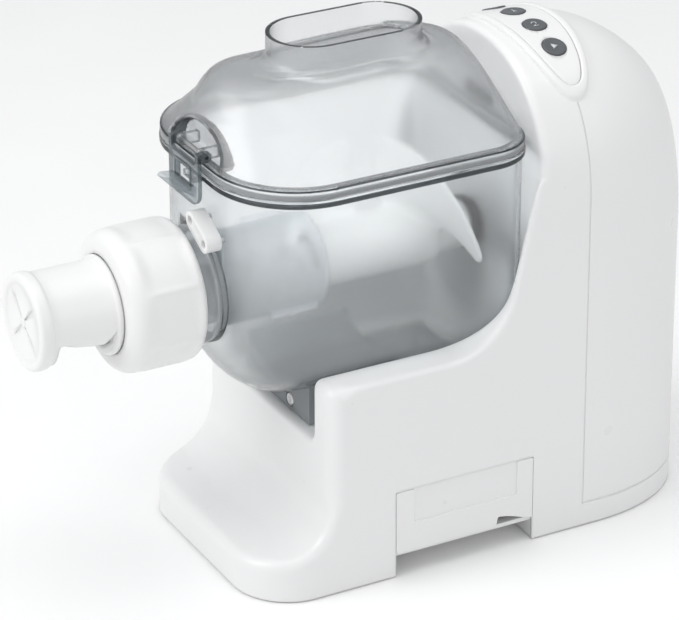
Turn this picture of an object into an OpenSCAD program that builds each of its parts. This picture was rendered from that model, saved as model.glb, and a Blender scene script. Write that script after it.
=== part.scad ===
// Electric pasta maker: a tower with the motor and gears, a clear mixing bowl that slides
// in from the front, a screw that pushes dough through a nozzle, and a drawer in the base.
// Frame: +X is the drawer side, -Y is the nozzle, +Z is up, the ground is Z = 0.

/* [Overall] */
// Distance from the middle of the length to the nozzle's tip
front_reach = 202; // [190:1:230]
// Distance from the middle of the length to the back of the tower
rear_reach = 202; // [190:1:230]
// Outer radius of the bowl's round bottom and half its width
bowl_r = 72; // [68:0.25:78]
// Height of the screw's axis above the ground
axis_z = 173.5; // [172:0.5:178]
// Wall of the white mouldings
wall = 2.6; // [2:0.1:3.2]
// Gap all round between pieces that come apart by hand
gap = 0.4; // [0.3:0.05:0.6]

/* [Front housing] */
// Front of the toe
toe_y = -97.5; // [-104:0.5:-94]
// Corner radius of the toe
toe_r = 35; // [15:1:40]
// Height of the toe's upright skirt
skirt_h = 24; // [20:0.5:28]
// Radius of the hollow between toe and neck
scoop_r = 28; // [20:1:34]
// Front face of the neck
neck_y = -52; // [-56:0.5:-48]
// Corner radius of the neck
neck_r = 10; // [6:1:14]
// Height of the side walls beside the bowl
side_top = 128; // [122:0.5:134]
// How much wider each side of the housing is at the ground than at the arch
side_draft = 2.3; // [0:0.1:6]
// Half width of the channel under the bowl
channel_half = 56; // [50:0.5:60]
// Radius of the curve from side wall to tower
cradle_r = 42; // [34:1:48]
// Lean of the tower's front edge, degrees from upright
cradle_lean = 10; // [8:0.5:14]
// Front face of the tower
tower_y = 83; // [82:0.5:86]
// Rounding of the tower's front top edge
tower_edge_r = 7; // [3:0.5:10]

/* [Tower] */
// Distance from the bowl's side out to the tower's side, where the arch starts
side_over = 5.2; // [4.6:0.1:10]
// Height at which the arch starts
arch_z = 205; // [195:1:215]
// Height of the crown
crown_z = 291; // [286:0.5:298]
// Squareness of the arch, 2 is an ellipse
arch_n = 2.2; // [2:0.1:3]
// Plane where the front housing meets the rear cover
seam_y = 114.3; // [110:0.5:122]
// Height of the plinth under the rear cover
plinth_h = 15; // [13:0.5:18]
// Plane where the rear cover starts to round off
rear_from = 124; // [123:0.5:140]
// Half width of the flat part of the back
rear_flat = 21; // [14:1:36]
// Squareness of the back's corners seen from above, 2 is an ellipse
rear_n = 2.1; // [1.8:0.1:3]
// Fall of the crown from the seam to the back
rear_fall = 65; // [40:1:90]
// Squareness of that fall
fall_n = 1.8; // [1.6:0.1:3]
// Height of the lowest edge of the mouldings
lift = 1; // [0.6:0.1:2]

/* [Control strip] */
// Half length of the strip, across the tower
strip_half = 60; // [54:1:66]
// Half width of the strip in the middle
strip_wide = 20; // [17:0.5:22]
// Width of the strip's frame
strip_frame = 4.5; // [3:0.5:6]
// Height of the strip's frame over the tower
strip_h = 2.4; // [1.6:0.1:3]
// Radius of a button
button_r = 7; // [6:0.25:8]
// Distance of the inner buttons from the middle
button_x1 = 11.4; // [10:0.2:13]
// Distance of the outer buttons from the middle
button_x2 = 32.5; // [29:0.5:35]
// Travel of a button
button_travel = 1.5; // [1:0.1:2]
// Length of a button's stem below its flange
button_stem = 7; // [5:0.5:9]

/* [Bowl] */
// Wall of the bowl
bowl_wall = 2.4; // [1.8:0.1:3]
// Front wall of the bowl
bowl_front = -93; // [-96:0.5:-90]
// Rear wall of the bowl
bowl_rear = 80; // [76:0.5:81]
// Edge radius at the bowl's front
bowl_front_r = 44; // [28:1:46]
// Edge radius at the bowl's rear
bowl_rear_r = 20; // [14:1:26]
// Top of the bowl's rim
rim_z = 246; // [242:0.5:250]
// Height of the bowl's rim band
rim_h = 4.5; // [3:0.25:6]
// How far the rim stands out from the bowl's side
rim_over = 6.8; // [5:0.1:10]
// Front of the rim
rim_front = -98; // [-101:0.5:-96]
// Clearance under the bowl's foot
foot_gap = 0.8; // [0.5:0.1:1.5]
// Height from the floor of the channel to the bowl's lowest point
foot_h = 13.5; // [12:0.5:18]
// Half width of the foot under the bowl
foot_half = 24; // [21:1:34]
// Front face of that foot
foot_y = -43; // [-60:1:-36]

/* [Lid] */
// Height of the lid's band
band_h = 5.7; // [4:0.1:8]
// Height of the dome's top in the middle
lid_top = 295.5; // [290:0.5:302]
// Rise of the dome's top towards the rear, in degrees
lid_tilt = 1; // [0:0.5:2]
// Wall of the lid
lid_wall = 2.4; // [1.8:0.1:3]
// Top of the filling chute
chute_z = 310.5; // [306:0.5:318]
// Length of the chute, front to back
chute_long = 92; // [80:1:100]
// Width of the chute
chute_wide = 50; // [40:1:56]
// Middle of the chute, front to back
chute_y = -2; // [-8:0.5:6]
// Half width of the recess for the latch
recess_half = 29; // [24:0.5:34]
// Height of that recess above the band
recess_h = 17; // [13:0.5:20]
// Depth of that recess
recess_deep = 11; // [9:0.5:13]

/* [Latch] */
// Half width of the latch at its hinge
latch_half = 18; // [16:0.5:20]
// Thickness of the latch
latch_t = 3; // [2.4:0.1:3.6]
// Lowest point of the latch
latch_low = 227; // [222:0.5:232]
// Radius of the hinge pin
latch_pin_r = 1.2; // [1:0.1:1.6]

/* [Nozzle and nut] */
// Outer radius of the barrel
barrel_r = 30; // [28:0.25:31]
// Bore radius of the barrel
barrel_bore = 24; // [22:0.25:25]
// Outer radius of the barrel's sleeve inside the bowl
sleeve_r = 27; // [26.5:0.25:29]
// Rear end of the barrel, inside the bowl
barrel_end = -26; // [-34:0.5:-24]
// Radius of the ring on the bowl around the barrel
neck_ring_r = 34.4; // [33:0.2:37]
// Radius of the nut
nut_r = 41; // [39:0.25:44]
// Front face of the nut
nut_front = -153.2; // [-156:0.4:-146]
// Rear face of the nut
nut_rear = -107; // [-110:0.5:-104]
// Radius of the opening in the nut's front
nut_mouth = 28.5; // [27.5:0.25:29]
// Radius of the hood's tube
hood_r = 25; // [23.5:0.25:26]
// Radius of the ring at the hood's tip
hood_tip_r = 28; // [26:0.25:30]
// Wall of the hood
hood_wall = 3; // [2:0.1:4]
// Angle of the hood's window, to each side of straight down
window_angle = 56; // [40:1:65]

/* [Screw and paddle] */
// Gap between the screw's edge and the barrel
screw_gap = 0.8; // [0.5:0.1:1.5]
// Pitch of the screw
screw_pitch = 44; // [36:1:60]
// Thickness of the screw's flights
flight_t = 5; // [3:0.5:7]
// Radius of the screw's core
screw_core = 9; // [7:0.5:11]
// Radius of the paddle's hub
hub_r = 18.5; // [16:0.5:20]
// Gap between the paddle's blades and the inside of the bowl
blade_gap = 8.6; // [4:0.2:14]
// Thickness of a blade
blade_t = 4; // [3:0.5:5]
// Radius of the paddle's journal in the bowl's rear wall
journal_r = 11; // [10.5:0.1:13]

/* [Gears and motor] */
// Radius of the drive shaft
shaft_r = 8; // [7:0.25:8.5]
// Side of the drive shaft's square end
square_side = 12; // [10:0.25:12.5]
// Teeth of the output gear
out_teeth = 56; // [48:4:60]
// Teeth of the idler's small gear
idler_small = 14; // [13:1:16]
// Teeth of the idler's large gear
idler_large = 48; // [44:1:50]
// Teeth of the motor's pinion
pinion_teeth = 12; // [12:1:14]
// Module of the output pair
out_module = 1.5; // [1.4:0.05:1.6]
// Module of the motor pair
motor_module = 1.25; // [1.1:0.05:1.3]
// Running clearance of every shaft in its bore, on the radius
run = 0.05; // [0.03:0.01:0.09]
// Thickness of a gear
gear_t = 9; // [7:0.5:10]
// Radius of the motor's can
motor_r = 33; // [28:0.5:34]
// Length of the motor's can
motor_long = 48; // [40:1:54]

/* [Drawer] */
// Front edge of the drawer's face
drawer_y0 = -11; // [-16:0.5:-6]
// Rear edge of the drawer's face
drawer_y1 = 80; // [74:0.5:82]
// Top edge of the drawer's face
drawer_z1 = 55; // [50:0.5:60]
// Bottom edge of the drawer's face
drawer_z0 = 17; // [15.6:0.1:19]
// Depth of the drawer's tray behind its face
drawer_deep = 96; // [80:1:110]
// Wall of the drawer's tray
tray_wall = 2; // [1.6:0.1:3]
// Width of the finger notch
notch_wide = 25; // [18:0.5:30]
// Height of the finger notch into the face
notch_h = 3.5; // [2.5:0.5:6]

/* [Hidden] */
$fn = 64;
eps = 0.01;
arc_n = 10;

// Widths and heights that follow the bowl
tower_half = bowl_r + side_over;
base_half = tower_half + side_draft;
rim_half = bowl_r + rim_over;
floor_z = axis_z - bowl_r - foot_h;
blade_reach = bowl_r - bowl_wall - blade_gap;

// Colours
white = [0.95, 0.95, 0.95];
clear = [0.72, 0.76, 0.78, 0.35];
frosted = [0.86, 0.89, 0.9, 0.6];
dark = [0.28, 0.29, 0.3];
steel = [0.7, 0.71, 0.73];
brass = [0.78, 0.63, 0.3];
green = [0.12, 0.4, 0.25];
grey = [0.45, 0.46, 0.48];

// ---- Points -------------------------------------------------------------------------

// Points along an arc about c, from angle a0 to a1
function arc(c, r, a0, a1, n = arc_n) =
  [for (i = [0:n]) c + r * [cos(a0 + (a1 - a0) * i / n), sin(a0 + (a1 - a0) * i / n)]];

// Outline seen from above: half width w, front y0 with radius r0, rear y1 with radius r1
function plan_pts(w, y0, r0, y1, r1) = concat(
  arc([-w + r0, y0 + r0], r0, 180, 270),
  arc([w - r0, y0 + r0], r0, -90, 0),
  arc([w - r1, y1 - r1], r1, 0, 90),
  arc([-w + r1, y1 - r1], r1, 90, 180));

// Height of the arch over a point x, with the arch drawn in by g
function arch_at(x, g = 0) =
  arch_z + (crown_z - arch_z - g) * pow(1 - pow(abs(x) / (tower_half - g), arch_n), 1 / arch_n);

// Slope of the arch over a point x, in degrees
function arch_slope(x, g = 0) =
  let (e = 0.05) atan((arch_at(x + e, g) - arch_at(x - e, g)) / (2 * e));

// Front view of the housing: sides with a slight draft, and the arch
function arch_pts(g, z0 = 0, n = 24) = concat(
  [[base_half - g, z0], [tower_half - g, arch_z]],
  [for (i = [1:n - 1]) let (x = (tower_half - g) * cos(90 * i / n)) [x, arch_at(x, g)]],
  [[0, crown_z - g]],
  [for (i = [n - 1:-1:1]) let (x = (tower_half - g) * cos(90 * i / n)) [-x, arch_at(x, g)]],
  [[-tower_half + g, arch_z], [-base_half + g, z0]]);

// Side view of the front housing, drawn in by g
scoop_y = neck_y - scoop_r;
scoop_z = skirt_h + 2;
cradle_y = tower_y - 59.1;
function side_pts(g, z0, y1) = let (
  er = tower_edge_r, top = crown_z - g) concat(
  [[toe_y + g, z0], [toe_y + g, skirt_h - g]],
  arc([scoop_y, scoop_z + scoop_r], scoop_r + g, -90, 0),
  arc([neck_y + 6, side_top - 6], 6 - g, 180, 90, 5),
  arc([cradle_y, side_top + cradle_r], cradle_r + g, -90, -cradle_lean),
  [[tower_y + g, rim_room_z]],
  arc([tower_y + er, crown_z - er], er - min(g, er - 0.5), 180, 90, 5),
  [[y1, top], [y1, z0]]);

// Rear cover: how far the sides and the crown draw in at the share t (0 to 1) of its rounding
rear_run = rear_reach - rear_from;
rear_steps = 12;
function rear_at(t) = pow(sin(90 * t), 2 / rear_n);
function side_draw(t) = (tower_half - rear_flat) * (1 - pow(cos(90 * t), 2 / rear_n));
function crown_draw(t) =
  rear_fall * (1 - pow(1 - pow(min(rear_at(t), 1), fall_n), 1 / fall_n));

// Outline seen from above of all that follows the back, drawn in by g, from y0
function back_plan(g, y0) = let (
  p = [for (i = [0:rear_steps]) let (t = i / rear_steps)
    [base_half - g - side_draw(t), rear_from + (rear_run - g) * rear_at(t)]]) concat(
  [[-base_half + g, y0], [base_half - g, y0]],
  p,
  [for (i = [rear_steps:-1:0]) [-p[i][0], p[i][1]]]);

// ---- Helpers ------------------------------------------------------------------------

// A flat outline (x, z) drawn along Y from y0 to y1
module along_y(y0, y1)
  translate([0, y1, 0])
    rotate([90, 0, 0])
      linear_extrude(y1 - y0)
        children();

// A flat outline (y, z) drawn along X from x0 to x1
module along_x(x0, x1)
  translate([x0, 0, 0])
    rotate([90, 0, 90])
      linear_extrude(x1 - x0)
        children();

// A flat outline (x, y) drawn along Z from z0 to z1
module along_z(z0, z1)
  translate([0, 0, z0])
    linear_extrude(z1 - z0)
      children();

// A round bar along Y
module rod_y(r, y0, y1, x = 0, z = axis_z)
  translate([x, y1, z])
    rotate([90, 0, 0])
      cylinder(r = r, h = y1 - y0);

// A round bar along X
module rod_x(r, x0, x1, y, z)
  translate([x0, y, z])
    rotate([0, 90, 0])
      cylinder(r = r, h = x1 - x0);

// A round bar along Z
module rod_z(r, z0, z1, x, y)
  translate([x, y, z0])
    cylinder(r = r, h = z1 - z0);

// A box from one corner to the other
module box(a, b)
  translate(a)
    cube(b - a);

// A pipe along Y
module pipe_y(r, bore, y0, y1, x = 0, z = axis_z)
  difference() {
    rod_y(r, y0, y1, x, z);
    rod_y(bore, y0 - 1, y1 + 1, x, z);
  }

// Places children on the arch at x, with their own Z along the outward normal
module on_arch(x, out = 0)
  translate([x, seam_y, arch_at(x)])
    rotate([0, -arch_slope(x), 0])
      translate([0, 0, out])
        children();

// ---- Housing ------------------------------------------------------------------------

module front_form(g, z0, y1)
  intersection() {
    along_x(-base_half - 5, base_half + 5)
      polygon(side_pts(g, z0, y1));
    along_y(toe_y - 5, y1 + 5)
      polygon(arch_pts(g, z0));
    union() {
      along_z(z0, scoop_z + scoop_r)
        polygon(plan_pts(base_half - g, toe_y + g, toe_r - g, y1 + 20, 2));
      along_z(scoop_z + scoop_r - eps, crown_z + 5)
        polygon(plan_pts(base_half - g, neck_y + g, neck_r - g, y1 + 20, 2));
    }
  }

// Room for the bowl: channel, round bottom, straight sides and open top, grown by g
bowl_room = 0.8;
rim_room_z = rim_z - rim_h - 3;
module trough(g) {
  r = bowl_r + bowl_room + g;
  y1 = tower_y + g;
  box([-channel_half - g, toe_y - 60, floor_z - g], [channel_half + g, y1, axis_z]);
  rod_y(r, toe_y - 60, y1);
  box([-r, toe_y - 60, axis_z], [r, y1, rim_room_z - g]);
  // Room for the rim and the lid, also when the lid is lifted
  box([-base_half - 9, toe_y - 60, rim_room_z - g], [base_half + 9, y1, chute_z + 9]);
}

boss_spots = [[-1, -38], [1, -38], [-1, 100], [1, 100]];
boss_r = 5;
boss_x = base_half - wall - boss_r + 1;
boss_top = 38;
screw_r = 1.5;
drawer_x = base_half - wall;

module front_housing()
  color(white)
    difference() {
      union() {
        difference() {
          front_form(0, lift, seam_y);
          trough(0);
          difference() {
            front_form(wall, -5, seam_y + 10);
            trough(wall);
          }
        }
        // Plinth that runs round under the rear cover
        difference() {
          along_z(lift, plinth_h)
            polygon(back_plan(0, seam_y - 3));
          along_z(-5, plinth_h + 5)
            polygon(back_plan(wall, seam_y - 9));
        }
        // Screw bosses for the bottom plate
        for (p = boss_spots)
          rod_z(boss_r, plinth_h, boss_top, p[0] * boss_x, p[1]);
        // Boss that carries the seal round the drive shaft
        pipe_y(seal_r + 3, seal_r, tower_y, tower_y + wall);
      }
      rod_y(seal_r, tower_y - 5, tower_y + 20);
      for (p = boss_spots)
        rod_z(screw_r + run, 0, boss_top - 4, p[0] * boss_x, p[1]);
      // Doorway of the drawer, and the open notch under it
      box([drawer_x - 8, drawer_y0, drawer_z0], [base_half + 5, drawer_y1, drawer_z1]);
      box([drawer_x - 8, drawer_y0 - 1, -5], [base_half + 5, drawer_y1, drawer_z0 + eps]);
      // Opening under the control plate
      strip_prism(strip_half - 2 * strip_frame - 5, strip_wide - 2 * strip_frame, crown_z - 60);
      // Slot for the plunger of the lid's safety switch
      box([slot_x - slot_half, tower_y - 5, slot_z - slot_h / 2],
          [slot_x + slot_half, tower_y + 10, slot_z + slot_h / 2]);
      // Round sight hole beside the slot
      rod_y(3.7, tower_y - 5, tower_y + wall + 5, -40, 228);
    }

vent_n = 7;
inlet_z = 46;
inlet_half = 13;
inlet_tall = 20;
post_x = 50;
post_z = [57, 212];
post_r = 5;
cover_spots = [[-30, 56], [30, 56], [-15, 150], [15, 150]];

// One outline of the rear cover across the tower, at the share t of its rounding
function rear_ring(t, g, z0, y) = let (
  w = tower_half - g - side_draw(t),
  a = arch_z - 0.97 * crown_draw(t),
  h = crown_z - g - crown_draw(t) - a,
  up = [for (i = [0:14]) let (x = w * cos(90 * i / 14))
    [x, a + h * pow(1 - pow(x / w, arch_n), 1 / arch_n)]]) concat(
  [[base_half - g - side_draw(t), y, z0]],
  [for (p = up) [p[0], y, p[1]]],
  [for (i = [13:-1:0]) [-up[i][0], y, up[i][1]]],
  [[-base_half + g + side_draw(t), y, z0]]);

// A solid through outlines that all have the same count of points
module loft(rings) {
  n = len(rings[0]);
  m = len(rings);
  polyhedron(
    points = [for (r = rings, p = r) p],
    faces = concat(
      [[for (i = [n - 1:-1:0]) i]],
      [[for (i = [0:n - 1]) (m - 1) * n + i]],
      [for (j = [0:m - 2], i = [0:n - 1]) let (k = (i + 1) % n)
        [j * n + i, j * n + k, (j + 1) * n + k]],
      [for (j = [0:m - 2], i = [0:n - 1]) let (k = (i + 1) % n)
        [j * n + i, (j + 1) * n + k, (j + 1) * n + i]]));
}

module rear_form(g, z0, y0)
  loft(concat(
    [rear_ring(0, g, z0, y0)],
    [for (i = [0:rear_steps]) let (t = i / rear_steps)
      rear_ring(t, g, z0, rear_from + (rear_run - g) * rear_at(t))]));

module rear_cover()
  color(white)
    difference() {
      union() {
        difference() {
          rear_form(0, plinth_h, seam_y);
          rear_form(wall, plinth_h - 10, seam_y - 10);
        }
        intersection() {
          for (p = cover_spots)
            rod_y(boss_r, rear_reach - wall - 9, rear_reach, p[0], p[1]);
          rear_form(wall / 2, plinth_h, seam_y);
        }
      }
      for (p = cover_spots) {
        rod_y(screw_r + run, rear_reach - 40, rear_reach + 5, p[0], p[1]);
        rod_y(3.2, rear_reach - 5, rear_reach + 5, p[0], p[1]);
      }
      // Air slots for the motor
      for (i = [0:vent_n - 1])
        box([(i - (vent_n - 1) / 2) * 5 - 1.1, rear_reach - wall - 5, 104],
            [(i - (vent_n - 1) / 2) * 5 + 1.1, rear_reach + 5, 138]);
      // Window of the power inlet
      box([-inlet_half - gap, rear_reach - wall - 5, inlet_z - inlet_tall / 2 - gap],
          [inlet_half + gap, rear_reach + 5, inlet_z + inlet_tall / 2 + gap]);
      strip_prism(strip_half - 2 * strip_frame - 5, strip_wide - 2 * strip_frame, crown_z - 60);
    }

plate_t = 2.5;
standoff_h = 7;
board_deep = 50;
board_y1 = rear_reach - 20;
board_y0 = board_y1 - board_deep;
board_half = 44;
module bottom_plate()
  color(white)
    difference() {
      union() {
        along_z(plinth_h - plate_t, plinth_h)
          polygon(plan_pts(base_half - wall - gap, toe_y + wall + gap, toe_r - wall - gap,
                           seam_y, 1));
        along_z(plinth_h - plate_t, plinth_h)
          polygon(back_plan(wall + gap, seam_y - eps));
        for (x = [-1, 1], y = [board_y0 + 5, board_y1 - 5])
          rod_z(3, plinth_h, plinth_h + standoff_h, x * (board_half - 6), y);
        // Sockets that hold the feet
        for (p = feet_spots)
          difference() {
            rod_z(foot_pad_r + 2, 4, plinth_h - plate_t, p[0], p[1]);
            rod_z(foot_pad_r + run, 3, plinth_h - plate_t + 1, p[0], p[1]);
          }
      }
      for (p = boss_spots) {
        rod_z(screw_r + 0.3, 0, plinth_h + 5, p[0] * boss_x, p[1]);
        rod_z(3.3, plinth_h - plate_t - 1, plinth_h - plate_t + 1, p[0] * boss_x, p[1]);
      }
      // Air slots
      for (i = [0:5])
        box([-25, 118 + i * 3, plinth_h - plate_t - 1], [25, 119.2 + i * 3, plinth_h + 1]);
    }

foot_pad_r = 9;
foot_in = 21.5;
feet_spots = [
  for (x = [-1, 1]) [x * (base_half - foot_in), toe_y + 23.5],
  for (x = [-1, 1]) [x * (base_half - foot_in - 6), rear_reach - 37]];
module rubber_feet()
  color(dark)
    for (p = feet_spots)
      rod_z(foot_pad_r, 0, plinth_h - plate_t, p[0], p[1]);

module base_screws()
  color(steel)
    for (p = boss_spots) {
      rod_z(screw_r, plinth_h - plate_t + 1 - eps, boss_top - 8, p[0] * boss_x, p[1]);
      rod_z(3, plinth_h - plate_t - 1, plinth_h - plate_t + 1, p[0] * boss_x, p[1]);
    }

module cover_screws()
  color(steel)
    for (p = cover_spots) {
      rod_y(screw_r, frame_tab_y, rear_reach - 5 + eps, p[0], p[1]);
      rod_y(3, rear_reach - 5, rear_reach - 3, p[0], p[1]);
    }

// ---- Control strip ------------------------------------------------------------------

// Lens-shaped outline on the crown, drawn straight down
module strip_prism(half, wide, z0)
  along_z(z0, crown_z + 30)
    translate([0, seam_y])
      polygon([for (i = [0:47]) let (a = 7.5 * i)
        [half * cos(a), wide * sign(sin(a)) * pow(abs(sin(a)), 0.8)]]);

module arch_shell(inner, outer, y0, y1)
  difference() {
    along_y(y0, y1)
      polygon(arch_pts(-outer));
    along_y(y0 - 1, y1 + 1)
      polygon(arch_pts(-inner));
  }

module strip_shell(inner, outer)
  arch_shell(inner, outer, seam_y - strip_wide - 5, seam_y + strip_wide + 5);

seat = 0.1;
module control_bezel()
  color(white)
    difference() {
      intersection() {
        strip_shell(seat, strip_h);
        strip_prism(strip_half, strip_wide, crown_z - 40);
      }
      strip_prism(strip_half - strip_frame, strip_wide - strip_frame, crown_z - 50);
    }

button_spots = [-button_x2, -button_x1, button_x1, button_x2];
module control_plate()
  color(white)
    difference() {
      intersection() {
        strip_shell(seat, strip_h - 0.5);
        strip_prism(strip_half - strip_frame - 0.25, strip_wide - strip_frame - 0.25, crown_z - 45);
      }
      for (x = button_spots)
        on_arch(x, -10)
          cylinder(r = button_r + gap, h = 30);
    }

flange_t = 1.2;
cap_top = strip_h + 0.1;
flange_z = seat - gap - 0.7;
stem_r = 2.5;
stem_low = flange_z - flange_t - button_stem;
module button(i)
  color(dark)
    on_arch(button_spots[i]) {
      translate([0, 0, flange_z - flange_t])
        cylinder(r = button_r + 1.2, h = flange_t);
      translate([0, 0, flange_z - eps])
        cylinder(r = button_r, h = cap_top - flange_z);
      translate([0, 0, stem_low])
        cylinder(r = stem_r, h = button_stem + eps);
    }

module button_1() button(0);
module button_2() button(1);
module button_3() button(2);
module button_4() button(3);

// Curved carrier with a switch under each button
board_depth = -stem_low + button_travel + 4.3;
board_t = 1.6;
module button_board()
  color(green) {
    intersection() {
      strip_shell(-board_depth - board_t, -board_depth);
      box([-board_x, seam_y - 9, 0], [board_x, seam_y + 9, crown_z]);
    }
    for (x = button_spots)
      on_arch(x, -board_depth - 0.6)
        translate([-3, -3, 0])
          cube([6, 6, 4.3 + 0.6 - gap]);
    // Ears that hang the carrier under the crown
    for (s = [-1, 1])
      intersection() {
        strip_shell(-board_depth - board_t, -wall - gap);
        box([s > 0 ? board_x - 4 : -board_x, seam_y - 16, 0],
            [s > 0 ? board_x : -board_x + 4, seam_y - 9 + eps, crown_z]);
      }
    for (s = [-1, 1])
      intersection() {
        strip_shell(-board_depth - board_t, -wall - gap - 0.6);
        box([s > 0 ? board_x - 4 : -board_x, seam_y + 9 - eps, 0],
            [s > 0 ? board_x : -board_x + 4, seam_y + 14, crown_z]);
      }
  }
board_x = button_x2 + 10;

// ---- Gears, frame and motor ---------------------------------------------------------

out_pitch = out_teeth * out_module / 2;
small_pitch = idler_small * out_module / 2;
large_pitch = idler_large * motor_module / 2;
pinion_pitch = pinion_teeth * motor_module / 2;
idler_z = axis_z - out_pitch - small_pitch;
motor_z = idler_z - large_pitch - pinion_pitch;
backlash = 0.22;

// Outline of a gear: a tooth (or a gap) points along the angle aim
function gear_pts(n, m, aim, on_gap = false) = let (
  rp = n * m / 2, ra = rp + 0.8 * m, rf = rp - 1.05 * m,
  hp = (PI * m / 2 - backlash) / 2 / rp * 180 / PI,
  ha = ((PI * m / 2 - backlash) / 2 - 0.8 * m * tan(21)) / ra * 180 / PI,
  start = aim + (on_gap ? 180 / n : 0))
  [for (i = [0:n - 1], p = [[rf, -hp], [rp, -hp], [ra, -ha], [ra, ha], [rp, hp], [rf, hp]])
    let (a = start + 360 * i / n + p[1]) p[0] * [cos(a), sin(a)]];

module gear(n, m, aim, on_gap, bore, y0, y1, z)
  difference() {
    translate([0, 0, z])
      along_y(y0, y1)
        polygon(gear_pts(n, m, aim, on_gap));
    rod_y(bore, y0 - 1, y1 + 1, 0, z);
  }

plate_y = tower_y + wall;
frame_t = 4;
gear_y0 = plate_y + frame_t + 3;
gear_y1 = gear_y0 + gear_t;
gear_y2 = gear_y1 + 2.5;
gear_y3 = gear_y2 + gear_t;
plate2_y = gear_y3 + 3;
frame_tab_y = rear_reach - wall - 9 - 12;
frame_half = post_x + post_r + 2;
frame_low = post_z[0] - post_r - 2;
frame_high = post_z[1] + post_r + 2;
bearing_r = shaft_r + 4;
seal_r = shaft_r + 5;
idler_pin_r = 4;
can_wall = 2;
motor_shaft_r = 3;

module frame_face(y0, y1)
  box([-frame_half, y0, frame_low], [frame_half, y1, frame_high]);

module gear_frame()
  color(grey)
    difference() {
      union() {
        frame_face(plate_y, plate_y + frame_t);
        for (x = [-1, 1], z = post_z)
          rod_y(post_r, plate_y + frame_t - eps, plate2_y + frame_t + 6, x * post_x, z);
      }
      rod_y(seal_r + 3 + gap, plate_y - 1, plate_y + 1);
      rod_y(bearing_r, plate_y - 1, plate_y + frame_t + 1);
      rod_y(idler_pin_r, plate_y - 1, plate_y + frame_t + 1, 0, idler_z);
      for (s = [-1, 1])
        rod_y(14, plate_y - 1, plate_y + frame_t + 1, s * 34, 100);
    }

module gear_plate()
  color(grey)
    difference() {
      union() {
        frame_face(plate2_y, plate2_y + frame_t);
        // Arms that reach back to the cover's screws
        for (p = cover_spots)
          rod_y(boss_r, plate2_y + frame_t - eps, rear_reach - wall - 9 - gap, p[0], p[1]);
      }
      for (p = cover_spots)
        rod_y(screw_r + run, frame_tab_y - 2, rear_reach, p[0], p[1]);
      for (x = [-1, 1], z = post_z)
        rod_y(post_r + run, plate2_y - 1, plate2_y + frame_t + 1, x * post_x, z);
      rod_y(bearing_r, plate2_y - 1, plate2_y + frame_t + 1);
      rod_y(idler_pin_r, plate2_y - 1, plate2_y + frame_t + 1, 0, idler_z);
      rod_y(motor_neck_r + run, plate2_y - 1, plate2_y + frame_t + 1, 0, motor_z);
    }
motor_neck_r = 10;

module shaft_bearings()
  color(steel) {
    pipe_y(bearing_r, shaft_r + run, plate_y + 1, plate_y + frame_t + 1.5);
    pipe_y(bearing_r, shaft_r + run, plate2_y - 1.5, plate2_y + frame_t);
  }

module shaft_seal()
  color(dark)
    pipe_y(seal_r, shaft_r + run, tower_y - 1.2, tower_y + wall);

module idler_pin()
  color(steel)
    rod_y(idler_pin_r, plate_y, plate2_y + frame_t, 0, idler_z);

motor_y = plate2_y + frame_t;
module motor_can()
  color(steel)
    difference() {
      union() {
        rod_y(motor_r, motor_y, motor_y + motor_long, 0, motor_z);
        rod_y(motor_neck_r, motor_y - frame_t + 1, motor_y + eps, 0, motor_z);
      }
      rod_y(motor_r - can_wall, motor_y + 3, motor_y + motor_long - 3, 0, motor_z);
      rod_y(motor_shaft_r + run, motor_y - 20, motor_y + motor_long + 5, 0, motor_z);
      // Air windows in the rear end
      for (a = [0:60:300])
        rod_y(5, motor_y + motor_long - 6, motor_y + motor_long + 5,
              19 * cos(a), motor_z + 19 * sin(a));
    }

module motor_shaft()
  color(steel)
    rod_y(motor_shaft_r, gear_y2 - 0.5, motor_y + motor_long + 12, 0, motor_z);

module motor_pinion()
  color(brass)
    gear(pinion_teeth, motor_module, 90, true, motor_shaft_r, gear_y2, gear_y3, motor_z);

module motor_armature()
  color(brass)
    difference() {
      rod_y(motor_r - can_wall - 5, motor_y + 9, motor_y + motor_long - 9, 0, motor_z);
      rod_y(motor_shaft_r, motor_y, motor_y + motor_long, 0, motor_z);
    }

fan_y = motor_y + motor_long + 2;
module cooling_fan()
  color(dark)
    difference() {
      union() {
        rod_y(8, fan_y, fan_y + 9, 0, motor_z);
        for (a = [0:45:315])
          translate([0, fan_y + 0.5, motor_z])
            rotate([0, a, 0])
              translate([6, 0, -0.9])
                cube([20, 8, 1.8]);
      }
      rod_y(motor_shaft_r, fan_y - 1, fan_y + 10, 0, motor_z);
    }

module idler_gear()
  color(white)
    difference() {
      union() {
        gear(idler_small, out_module, 90, true, 1, gear_y0, gear_y1, idler_z);
        gear(idler_large, motor_module, -90, false, 1, gear_y2, gear_y3, idler_z);
        rod_y(small_pitch - 2 * out_module, gear_y1 - eps, gear_y2 + eps, 0, idler_z);
      }
      rod_y(idler_pin_r + run, gear_y0 - 1, gear_y3 + 1, 0, idler_z);
    }

module output_gear()
  color(white)
    difference() {
      union() {
        gear(out_teeth, out_module, -90, false, 1, gear_y0, gear_y1, axis_z);
        rod_y(shaft_r + 6, gear_y1 - eps, plate2_y - 2);
      }
      rod_y(shaft_r, gear_y0 - 1, plate2_y + 1);
      for (a = [0:60:300])
        rod_y(7, gear_y0 - 1, gear_y1 + 1, 26 * cos(a), axis_z + 26 * sin(a));
    }

square_y = bowl_rear - 20;
module drive_shaft()
  color(steel) {
    rod_y(shaft_r, bowl_rear + 1, plate2_y + frame_t + 2);
    translate([0, 0, axis_z])
      along_y(square_y, bowl_rear + 1 + eps)
        square(square_side, center = true);
  }

// ---- Electrics ----------------------------------------------------------------------

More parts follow.
